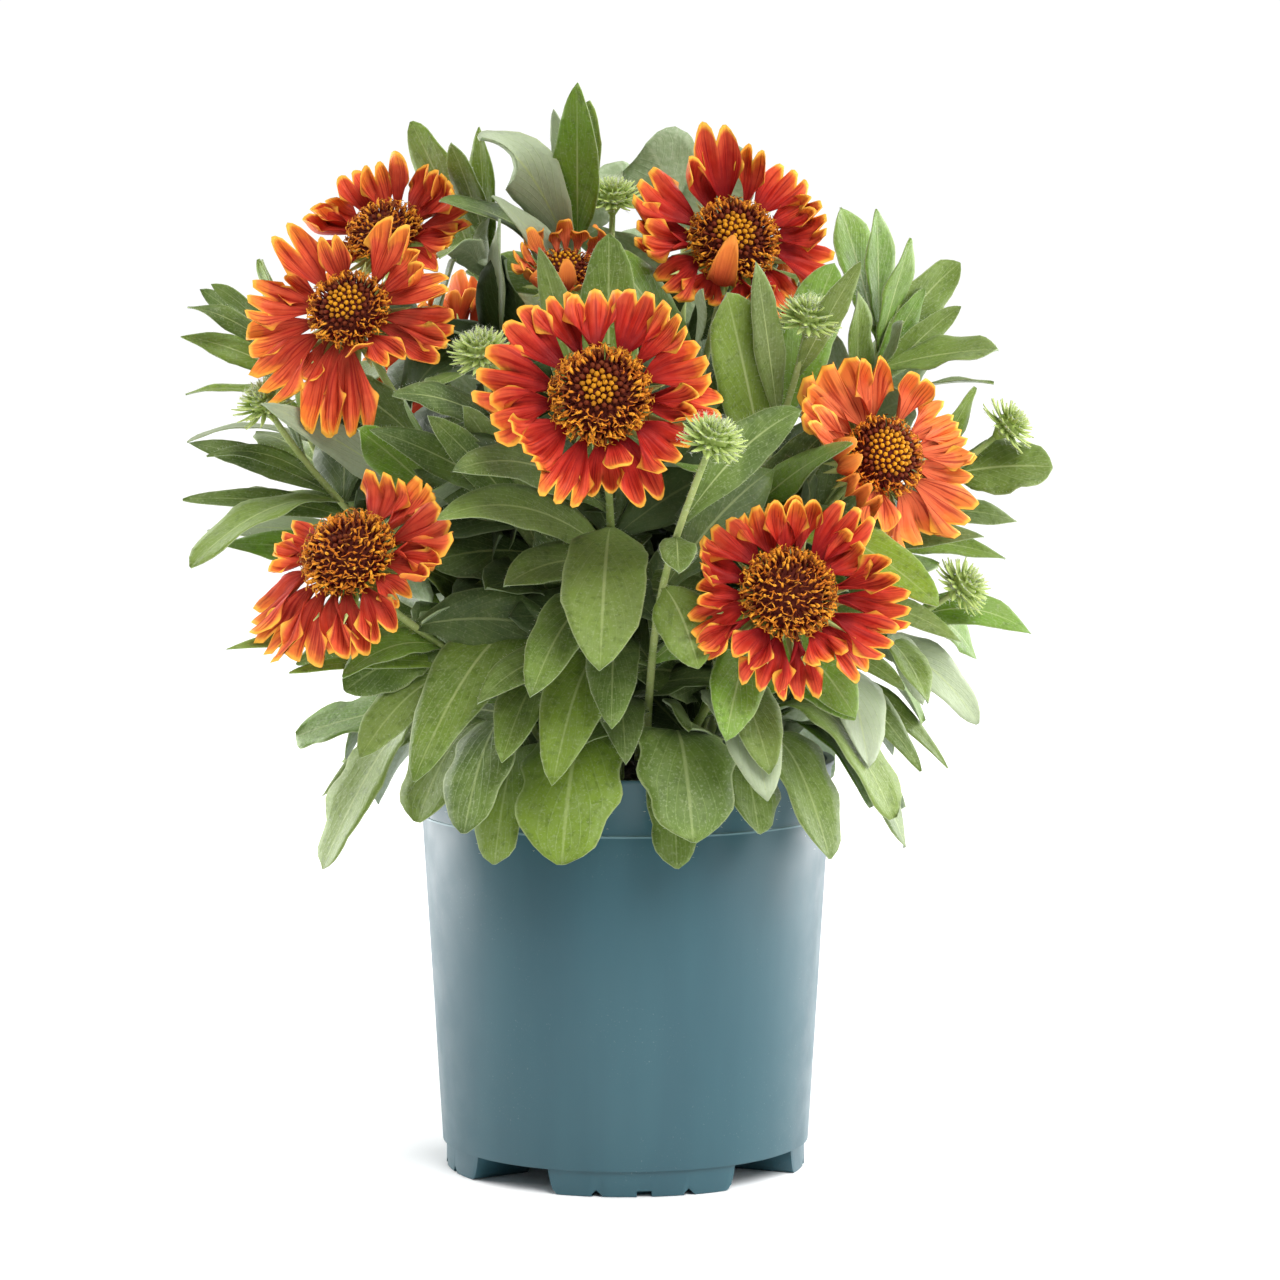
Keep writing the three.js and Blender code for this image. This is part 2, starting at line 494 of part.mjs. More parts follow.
function pot() {
  const { height, wall, footHeight, footRadius, lipRadius, lipHeight } = POT;
  const floorTop = footHeight + POT.floor;
  const bandFoot = height - POT.bandHeight;
  const body = turned(
    [
      [0, footHeight],
      [footRadius - wall, footHeight],
      [footRadius - wall, 0],
      [footRadius, 0],
      [footRadius, footHeight],
      [POT.heelRadius, footHeight],
      [POT.shoulderRadius, bandFoot],
      [POT.bandRadius, bandFoot],
      [lipRadius - 0.9, height - lipHeight],
      [lipRadius, height - lipHeight],
      [lipRadius, height],
      [lipRadius - 0.9 - wall, height],
      [POT.bandRadius - wall, bandFoot],
      [innerRadius(floorTop), floorTop],
      [0, floorTop],
    ],
    POT.segments,
  );
  return body.subtract(wasm.Manifold.union([...footCuts(), ...drainCuts()]));
}

/** The height of the potting mix at a place: a low mound with lumps. */
function soilHeight(x, y) {
  const radius = Math.hypot(x, y);
  const mound = SOIL.mound * Math.exp(-((radius / SOIL.moundRadius) ** 2));
  return SOIL.edge + mound + SOIL.relief * Math.sin(x * 0.31 + 1) * Math.cos(y * 0.27 - 2);
}

/** A plug of potting mix with one plain hole for each stem. */
function soil(stemCores) {
  const bottom = POT.footHeight + POT.floor + GAP;
  const rings = [];
  const outer = innerRadius(SOIL.edge) - GAP - SOIL.slack;
  const foot = innerRadius(bottom) - GAP - SOIL.slack;
  rings.push(circle(vec(0, 0, bottom), vec(1, 0, 0), vec(0, 1, 0), foot, SOIL.segments));
  for (let k = 0; k < SOIL.rings; k += 1) {
    const radius = outer * (1 - k / SOIL.rings) ** 0.8;
    const ring = circle(vec(0, 0, 0), vec(1, 0, 0), vec(0, 1, 0), radius, SOIL.segments);
    rings.push(ring.map((p) => p.setZ(soilHeight(p.x, p.y))));
  }
  return skin(rings).subtract(wasm.Manifold.union(stemCores));
}

// ---- stems, blooms and buds ------------------------------------------------------
/** The frame of a head: its axis, the way to the top of its face and the way to the right of it. */
function headFrame(facing, origin) {
  const [turn, rise] = facing.map(rad);
  const axis = vec(Math.sin(turn) * Math.cos(rise), -Math.cos(turn) * Math.cos(rise), Math.sin(rise));
  const top = UP.clone().addScaledVector(axis, -axis.z).normalize();
  const right = top.clone().cross(axis);
  return { origin, axis, top, right };
}

/** A point on a head: its clock angle, its distance from the axis and its height over the collar's plane. */
function onHead(head, clock, radius, height) {
  const turn = rad(clock);
  const { origin, top, right, axis } = head;
  return along(origin, top, radius * Math.cos(turn), right, radius * Math.sin(turn), axis, height);
}

function headRing(head, radius, height, sides) {
  return Array.from({ length: sides }, (_, i) => onHead(head, (-360 * i) / sides, radius, height));
}

/** A ring whose every second point, from the first or the second on, is drawn out to a spike's tip. */
function spikedRing(head, radius, height, sides, first, tipRadius, tipHeight) {
  return headRing(head, radius, height, sides).map((point, i) =>
    i % 2 === first ? onHead(head, (-360 * i) / sides, tipRadius, tipHeight) : point,
  );
}

/** The middle line of a stem, from its root in the soil to its head. */
function stemLine(root, end, axis) {
  const start = vec(root[0], root[1], soilHeight(...root) - ROOT_DEPTH);
  const reach = start.distanceTo(end);
  const lift = vec(root[0] * 0.6, root[1] * 0.6, reach * 0.42);
  const low = start.clone().add(lift);
  return new THREE.CubicBezierCurve3(start, low, end.clone().addScaledVector(axis, -0.34 * reach), end);
}

/** A tapering stem along its line, made thicker all over by grow. */
function stemTube(line, { radius, taper, sides, steps }, grow = 0) {
  const rings = [];
  for (let k = 0; k <= steps; k += 1) {
    const way = line.getTangent(k / steps);
    const x = vec(0, 1, 0).addScaledVector(way, -way.y).normalize();
    const size = radius * (1 - ((1 - taper) * k) / steps) + grow;
    const centre = line.getPoint(k / steps).addScaledVector(way, k === 0 ? -grow : 0);
    rings.push(circle(centre, x, way.clone().cross(x), size, sides));
  }
  return skin(rings);
}

/** The green cup under a bloom, with a ring of pointed bracts spreading from it. */
function receptacle(head, radius) {
  const sides = 2 * HEAD.bracts;
  return skin([
    headRing(head, 1.6, -HEAD.cup - 2, sides),
    headRing(head, radius * 0.34, -HEAD.cup * 0.5, sides),
    spikedRing(head, radius * 0.5, -2.5, sides, 0, radius * 0.98, -5),
    headRing(head, radius * 0.6, -0.2, sides),
  ]);
}

/** One ray floret: a narrow claw that opens into a folded blade with a lobed edge. */
function ray(head, discRadius, [clock, reach, lift, width], stagger) {
  const low = GAP + HEAD.collar / 2;
  const curled = reach < discRadius + 6;
  const line = new THREE.CubicBezierCurve(
    new THREE.Vector2(discRadius * 0.62, low),
    new THREE.Vector2(discRadius + 3, low),
    curled
      ? new THREE.Vector2(discRadius + 12, lift * 0.55)
      : new THREE.Vector2(reach * 0.8, lift * 0.45 + stagger),
    new THREE.Vector2(reach, lift + stagger),
  );
  const side = onHead(head, clock + 90, 1, 0).sub(head.origin);
  const at = (share, offset) => {
    const spot = line.getPoint(share);
    return onHead(head, clock, spot.x, spot.y).addScaledVector(side, offset);
  };
  const ring = (share, size, fold) => {
    const step = line.getTangent(share);
    const normal = onHead(head, clock, -step.y, step.x).sub(head.origin).normalize();
    return bladeRing(at(share, 0), side, normal, size, RAY.thickness, fold);
  };
  const rings = [ring(0, RAY.claw, 0), ring(0.8, width, RAY.fold)];
  if (Math.abs(lift) > RAY.bent) rings.splice(1, 0, ring(0.45, width * 0.5, RAY.fold));
  const lobes = width < RAY_LOBES.broad ? RAY_LOBES.two : RAY_LOBES.three;
  return skin(rings, lobes.map(([offset, share]) => at(share, offset * width)));
}

/** The rays given for a bloom, or an even ring of them. */
function rayList(bloom, seed) {
  if (bloom.rays) return bloom.rays;
  return Array.from({ length: EVEN_RAYS }, (_, i) => {
    const draw = (k) => chance(seed * 100 + i * 5 + k);
    const clock = (360 * i) / EVEN_RAYS + 6 * draw(1);
    return [clock, bloom.reach * (0.88 + 0.16 * draw(2)), -6 + 16 * draw(3), 14 + 3 * draw(4)];
  });
}

/** All ray florets of a bloom on their collar. */
function rays(head, bloom, seed) {
  const collar = skin([
    headRing(head, bloom.disc * 0.72, GAP, HEAD.collarSides),
    headRing(head, bloom.disc * 0.72, GAP + HEAD.collar, HEAD.collarSides),
  ]);
  const florets = rayList(bloom, seed).map((row, i) =>
    ray(head, bloom.disc, row, i % 2 === 0 ? RAY.stagger : -RAY.stagger),
  );
  return wasm.Manifold.union([collar, ...florets]);
}

/** The domed disc, its florets standing out as a staggered relief of points. */
function disc(head, radius) {
  const base = 2 * GAP + HEAD.collar;
  const core = radius * 0.83;
  const dome = radius * DISC.rise;
  const rings = [
    headRing(head, core * 0.8, base, DISC.around),
    headRing(head, core, base + 1.4, DISC.around),
  ];
  for (let row = 1; row <= DISC.rings; row += 1) {
    const angle = (row / (DISC.rings + 0.6)) * (Math.PI / 2);
    const ring = [];
    for (let i = 0; i < DISC.around; i += 1) {
      const raised = (i + row) % 2 === 0 && row < DISC.rings + 1 ? DISC.spike : 0;
      const clock = (-360 * i) / DISC.around;
      const out = core * Math.cos(angle) + raised * Math.cos(angle) * 0.8;
      ring.push(onHead(head, clock, out, base + 2 + dome * Math.sin(angle) + raised * Math.sin(angle)));
    }
    rings.push(ring);
  }
  return skin(rings);
}

/** A closed bud: a small green button set all round with pointed bracts. */
function budHead(head) {
  const { radius, spikes, spikeLength } = BUD;
  const sides = 2 * spikes;
  const out = radius + spikeLength;
  return skin(
    [
      headRing(head, 1.5, -radius - 2, sides),
      spikedRing(head, radius, -radius * 0.5, sides, 0, out, -1),
      spikedRing(head, radius * 0.95, 0, sides, 1, out * 0.9, radius * 0.7),
      spikedRing(head, radius * 0.7, radius * 0.5, sides, 0, out * 0.55, out * 0.85),
    ],
    [onHead(head, 0, 0, radius * 0.6)],
  );
}

// ---- leaves ------------------------------------------------------------------------
/** The point of a stem's middle line at a height, or near its end where it stays lower. */
function nodeAt(line, height) {
  const points = line.getPoints(60);
  const next = points.findIndex((point) => point.z >= height);
  if (next < 1) return line.getPoint(0.97);
  const last = points[next - 1];
  return last.clone().lerp(points[next], (height - last.z) / (points[next].z - last.z));
}

/** A leaf from a root to a tip: a thin keeled blade along an arched midrib, turned about it by roll. */
function leaf(root, tip, [width, arch, roll, shape], from = 0) {
  const middle = root.clone().lerp(tip, 0.5);
  middle.z += arch * root.distanceTo(tip);
  const rib = new THREE.QuadraticBezierCurve3(root, middle, tip);
  const lean = OUTLINES[shape].hangs ? 0 : LEAF.lean * (middle.y < 30 ? -1 : 1);
  const outward = vec(middle.x / LEAF.spread, middle.y / LEAF.spread + lean, 0);
  const stations = OUTLINES[shape].stations.filter(([share]) => share >= from);
  const rings = stations.map(([share, size]) => {
    const way = rib.getTangent(share);
    const light = outward.clone().setZ(LEAF.skyward * (1 - way.z ** 2));
    const side = way.clone().cross(light).normalize().applyAxisAngle(way, rad(roll));
    const normal = side.clone().cross(way);
    return bladeRing(rib.getPoint(share), side, normal, width * size, LEAF.thickness, LEAF.fold);
  });
  return skin(rings, [tip]);
}

/** A tip turned about the vertical through the root, lifted, and drawn in. */
function movedTip(root, tip, [turn, lift, length]) {
  const arm = tip.clone().sub(root);
  const level = Math.hypot(arm.x, arm.y);
  const heading = Math.atan2(arm.y, arm.x) + rad(turn);
  const rise = Math.atan2(arm.z, level) + rad(lift);
  const reach = arm.length() * length;
  return vec(
    root.x + reach * Math.cos(rise) * Math.cos(heading),
    root.y + reach * Math.cos(rise) * Math.sin(heading),
    root.z + reach * Math.sin(rise),
  );
}

/** Rows like those of LEAVES for a stem's leaves by rule. */
function ruledLeaves([name, count, low, high, length, width, spread], seed) {
  const { line } = plants.get(name);
  return Array.from({ length: count }, (_, i) => {
    const draw = (k) => chance(seed * 50 + i * 4 + k + 700);
    const height = low + ((high - low) * (i + 0.5)) / count;
    const root = nodeAt(line, height);
    const share = (i + 0.5) / count;
    const turn = rad(spread) * (((i * 0.618 + draw(0) * 0.12) % 1) - 0.5);
    const heading = Math.atan2(root.y, root.x) + turn;
    const rise = rad(-12 + 62 * share + 16 * (draw(1) - 0.5));
    const reach = length * (1.12 - 0.3 * share) * (0.9 + 0.2 * draw(2));
    const flat = reach * Math.cos(rise);
    const tip = [
      root.x + flat * Math.cos(heading),
      root.y + flat * Math.sin(heading),
      root.z + reach * Math.sin(rise),
    ];
    return [name, height, tip, width * (0.85 + 0.3 * draw(3)), 0.16, 50 * (draw(2) - 0.5), "slim"];
  });
}

/** Rows like those of LEAVES for a tuft's leaves by rule, which hang over the rim. */
function ruledBasal([name, count, reach, height], seed) {
  const { line } = plants.get(name);
  const root = line.getPoint(1);
  return Array.from({ length: count }, (_, i) => {
    const draw = (k) => chance(seed * 50 + i * 4 + k + 1900);
    const heading = Math.atan2(root.y, root.x) + rad((i - (count - 1) / 2) * 17 + 6 * draw(0));
    const out = reach * (0.95 + 0.12 * draw(1));
    const tip = [out * Math.cos(heading), out * Math.sin(heading), height + 24 * draw(2) - 6 + 10 * (i % 2)];
    return [name, root.z - 1.2 - 0.9 * i, tip, 22 + 8 * draw(3), 0.95, 0, i === 2 ? "toothed" : "basal"];
  });
}

// ---- assembly ------------------------------------------------------------------------
const plants = new Map(); // each green node: its line and the solids fused into it
const others = []; // rays and discs, pot and soil

function addPlant(name, line, form, pieces) {
  plants.set(name, { line, hole: stemTube(line, form, SEAT), pieces: [stemTube(line, form), ...pieces] });
}

for (const [key, bloom] of Object.entries(BLOOMS)) {
  const centre = vec(...bloom.centre);
  const head = headFrame(bloom.facing, centre);
  head.origin = centre.clone().addScaledVector(head.axis, -HEAD.deck);
  const end = head.origin.clone().addScaledVector(head.axis, -HEAD.cup);
  addPlant(`stem_${key}`, stemLine(bloom.root, end, head.axis), STEM, [receptacle(head, bloom.disc)]);
  others.push({ name: `rays_${key}`, finish: "rays", body: rays(head, bloom, Number(key)) });
  others.push({ name: `disc_${key}`, finish: "disc", body: disc(head, bloom.disc) });
}
for (const [key, bud] of Object.entries(BUDS)) {
  const head = headFrame(bud.facing, vec(...bud.centre));
  const end = head.origin.clone().addScaledVector(head.axis, -BUD.radius);
  addPlant(`bud_${key}`, stemLine(bud.root, end, head.axis), BUD_STEM, [budHead(head)]);
}
for (const [key, shoot] of Object.entries(SHOOTS)) {
  addPlant(`shoot_${key}`, stemLine(shoot.root, vec(...shoot.top), UP), STEM, []);
}
for (const [key, root] of Object.entries(TUFTS)) {
  const start = vec(root[0], root[1], soilHeight(...root) - ROOT_DEPTH);
  const end = start.clone().add(vec(0, 0, ROOT_DEPTH + CROWN.height));
  const third = (share) => start.clone().lerp(end, share);
  addPlant(`tuft_${key}`, new THREE.CubicBezierCurve3(start, third(1 / 3), third(2 / 3), end), CROWN, []);
}
const holes = [...plants.values()].map((plant) => plant.hole);
others.push({ name: "pot", finish: "pot", body: pot() });
others.push({ name: "potting_mix", finish: "soil", body: soil(holes) });

/** A solid with its node's name and its box, as the lists to keep clear of hold it. */
const item = (name, body) => ({ name, body, box: body.boundingBox() });
const placed = others.map(({ name, body }) => item(name, body));
for (const [name, { pieces }] of plants) placed.push(...pieces.map((body) => item(name, body)));
const blades = []; // the leaves alone, without their stalks

/** Whether a solid keeps clear of those items of a list that pass a test of their names. */
function isClear(body, items, concerns) {
  const box = body.boundingBox();
  const near = (other) =>
    [0, 1, 2].every((i) => box.min[i] - CLEAR < other.box.max[i] && other.box.min[i] - CLEAR < box.max[i]);
  const close = items.filter((other) => concerns(other.name) && near(other));
  return close.every((other) => other.body.minGap(body, CLEAR) >= CLEAR);
}

const leafRows = [
  ...LEAVES,
  ...BASAL_FILL.flatMap((row, seed) => ruledBasal(row, seed)),
  ...FILL.flatMap((row, seed) => ruledLeaves(row, seed)),
];
for (const [name, height, tip, ...form] of leafRows) {
  const { line, pieces } = plants.get(name);
  const root = nodeAt(line, height);
  for (const way of WAYS) {
    const end = movedTip(root, vec(...tip), way);
    const body = leaf(root, end, form);
    const blade = leaf(root, end, form, BLADE_FROM);
    if (!isClear(body, placed, (other) => other !== name)) continue;
    if (!isClear(blade, blades, (other) => other === name)) continue;
    pieces.push(body);
    placed.push(item(name, body));
    blades.push(item(name, blade));
    break;
  }
}

const group = new THREE.Group();
function addMesh(name, body, material) {
  const mesh = new THREE.Mesh(geometryOf(body), material);
  mesh.name = name;
  group.add(mesh);
}
for (const { name, finish: kind, body } of others) addMesh(name, body, MATERIALS[kind]);
for (const [name, plant] of plants) {
  addMesh(name, wasm.Manifold.union(plant.pieces), name.startsWith("tuft") ? MATERIALS.leaf : MATERIALS.stem);
}

export default group;
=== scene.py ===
"""A blanket flower in its nursery pot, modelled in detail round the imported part, in metres."""
import math

import bpy
import numpy as np
from bpy.props import FloatProperty, FloatVectorProperty, IntProperty, PointerProperty
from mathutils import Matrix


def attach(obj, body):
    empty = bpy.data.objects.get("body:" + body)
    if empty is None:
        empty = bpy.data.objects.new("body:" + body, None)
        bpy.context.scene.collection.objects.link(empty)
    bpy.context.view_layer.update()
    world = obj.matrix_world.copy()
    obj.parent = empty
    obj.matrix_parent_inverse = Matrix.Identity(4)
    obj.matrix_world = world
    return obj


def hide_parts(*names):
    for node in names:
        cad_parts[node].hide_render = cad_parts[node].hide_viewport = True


bl_info = {
    "name": "Potted blanket flower",
    "version": (1, 0, 0),
    "blender": (4, 5, 0),
    "location": "View3D > Sidebar > Blanket flower",
    "description": "Models a blanket flower with its leaves, buds and blooms in a nursery pot",
    "category": "Object",
}

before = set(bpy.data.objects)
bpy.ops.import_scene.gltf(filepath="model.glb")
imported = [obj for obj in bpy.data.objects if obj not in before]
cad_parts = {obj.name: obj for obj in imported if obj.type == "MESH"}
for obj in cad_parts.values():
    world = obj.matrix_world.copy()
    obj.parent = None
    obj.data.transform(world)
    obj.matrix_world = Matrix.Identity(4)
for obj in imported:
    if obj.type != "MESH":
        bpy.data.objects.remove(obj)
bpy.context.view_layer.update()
MM = 0.001

# ---- the plant, listed in millimetres ----------------------------------------------------
# A clock angle runs clockwise from the top of a bloom, seen from its front. A ray's reach and
# lift say how far out and how far forward of the collar its tip is.
# A bloom is (centre, facing, disc radius, root), then its rays as (clock, reach, lift, width) or,
# where they are even, the reach of them all.
BLOOMS = {
    1: ((-9, -130, 316), (-2, 22), 19.5, (-2, -30), [
        (-5, 44, 9, 20), (22, 45, 8, 16), (43, 43, 9, 16), (65, 45, 7, 17), (88, 46, 4, 13),
        (104, 38, 11, 10), (125, 38, 3, 17), (150, 46, -4, 15), (163, 31, 12, 9), (175, 37, 1, 12),
        (202, 43, -5, 14), (232, 37, 3, 18), (257, 45, 4, 17), (283, 47, 5, 18), (306, 45, 9, 13),
        (331, 45, 8, 18),
    ]),
    2: ((-98, 0, 380), (-22, 48), 16, (-23, 0), [
        (2, 30, 22, 10), (30, 34, 15, 12), (51, 36, 11, 13), (73, 35, 6, 12), (98, 30, 5, 13),
        (126, 30, 2, 13), (222, 34, 2, 13), (250, 38, 4, 14), (275, 36, 7, 13), (298, 34, 10, 13),
        (322, 32, 14, 13), (344, 28, 17, 10),
    ]),
    3: ((-108, -60, 348), (-12, 30), 16.5, (-25, -14), [
        (32, 36, 15, 12), (53, 35, 9, 13), (75, 41, 4, 13), (96, 45, 0, 15), (114, 42, -4, 12),
        (135, 28, 4, 11), (158, 24, 9, 9), (172, 47, -14, 15), (192, 46, -15, 14), (209, 32, -3, 10),
        (228, 46, -8, 18), (251, 43, -3, 15), (274, 44, 2, 15), (294, 34, 8, 12), (313, 39, 14, 13),
        (338, 27, 17, 11),
    ]),
    4: ((-24, -10, 366), (0, 58), 12, (-5, -5), [
        (0, 17, 12, 7), (33, 18, 11, 7), (66, 20, 10, 7), (98, 22, 9, 7), (130, 20, 10, 7),
        (163, 18, 11, 7), (196, 18, 11, 7), (229, 20, 10, 7), (262, 22, 9, 7), (295, 20, 10, 7),
        (328, 18, 11, 7),
    ]),
    5: ((43, -40, 375), (6, 30), 18.5, (5, -12), [
        (351, 38, 20, 13), (332, 39, 14, 15), (304, 46, 8, 18), (283, 41, 5, 13), (264, 37, 5, 15),
        (238, 36, -1, 17), (215, 28, -3, 14), (196, 9, 17, 9), (177, 27, -4, 14), (152, 27, -3, 12),
        (133, 35, -6, 13), (104, 40, 1, 15), (82, 37, 6, 13), (62, 37, 9, 13), (42, 38, 14, 14),
        (20, 35, 20, 10),
    ]),
    6: ((102, -70, 291), (24, 20), 16.5, (26, -20), [
        (354, 35, 12, 13), (333, 41, 10, 20), (306, 43, 12, 15), (284, 36, 20, 10), (262, 21, 20, 11),
        (226, 24, 17, 13), (198, 29, 6, 13), (152, 38, 0, 18), (130, 41, 3, 17), (106, 40, 5, 17),
        (82, 40, 4, 17), (59, 40, 5, 17), (36, 38, 7, 13),
    ]),
    7: ((62, -125, 242), (6, 26), 18.5, (17, -30), [
        (-1, 37, 10, 12), (17, 37, 10, 13), (38, 39, 9, 14), (61, 35, 10, 16), (81, 43, 6, 10),
        (98, 45, 1, 16), (115, 43, -3, 14), (133, 43, -6, 14), (150, 31, 3, 14), (171, 38, -8, 16),
        (195, 37, -8, 15), (214, 31, 2, 14), (236, 38, -3, 12), (253, 39, 0, 14), (270, 36, 3, 12),
        (292, 39, 5, 16), (316, 38, 8, 13), (337, 36, 12, 14),
    ]),
    8: ((-106, -105, 256), (-25, 40), 19, (-22, -28), [
        (16, 36, 8, 18), (42, 38, 7, 16), (62, 42, 4, 13), (80, 35, 6, 14), (99, 37, 0, 14),
        (122, 31, 0, 12), (142, 36, -8, 14), (164, 37, -14, 14), (185, 36, -16, 13), (204, 42, -18, 13),
        (222, 46, -15, 14), (244, 45, -6, 15), (266, 36, 0, 15), (287, 34, 4, 13),
    ]),
    9: ((60, 110, 346), (155, 32), 17, (15, 27), 41),
    10: ((-75, 112, 326), (-148, 28), 18, (-15, 28), 43),
    11: ((-12, 148, 256), (176, 28), 17, (-1, 38), 40),
}
# A bud is (centre, facing, root), and a shoot is (top, root).
BUDS = {
    "a": ((33, -158, 300), (38, 58), (7, -37)),
    "b": ((-55, -84, 331), (-10, 55), (-12, -18)),
    "c": ((-142, -40, 310), (-40, 50), (-35, -9)),
    "d": ((71, -70, 344), (20, 65), (14, -19)),
    "e": ((154, -10, 300), (80, 40), (38, 0)),
    "f": ((134, -40, 238), (60, 35), (35, -12)),
    "g": ((-5, 20, 392), (10, 75), (6, 4)),
    "h": ((112, 84, 322), (130, 50), (28, 17)),
    "i": ((-128, 70, 300), (-120, 45), (-28, 18)),
}
SHOOTS = {
    1: ((-20, 26, 392), (-3, 13)), 2: ((24, 40, 378), (9, 15)), 3: ((-56, 18, 374), (-13, 7)),
    4: ((103, 12, 340), (25, 4)), 5: ((-134, 16, 324), (-34, 7)), 6: ((-8, 96, 350), (-2, 26)),
}
TUFTS = {
    1: (-11, -47), 2: (15, -48), 3: (38, -35), 4: (50, -11), 5: (48, 22), 6: (24, 47), 7: (-24, 46),
    8: (-49, 20), 9: (-34, -40),
}
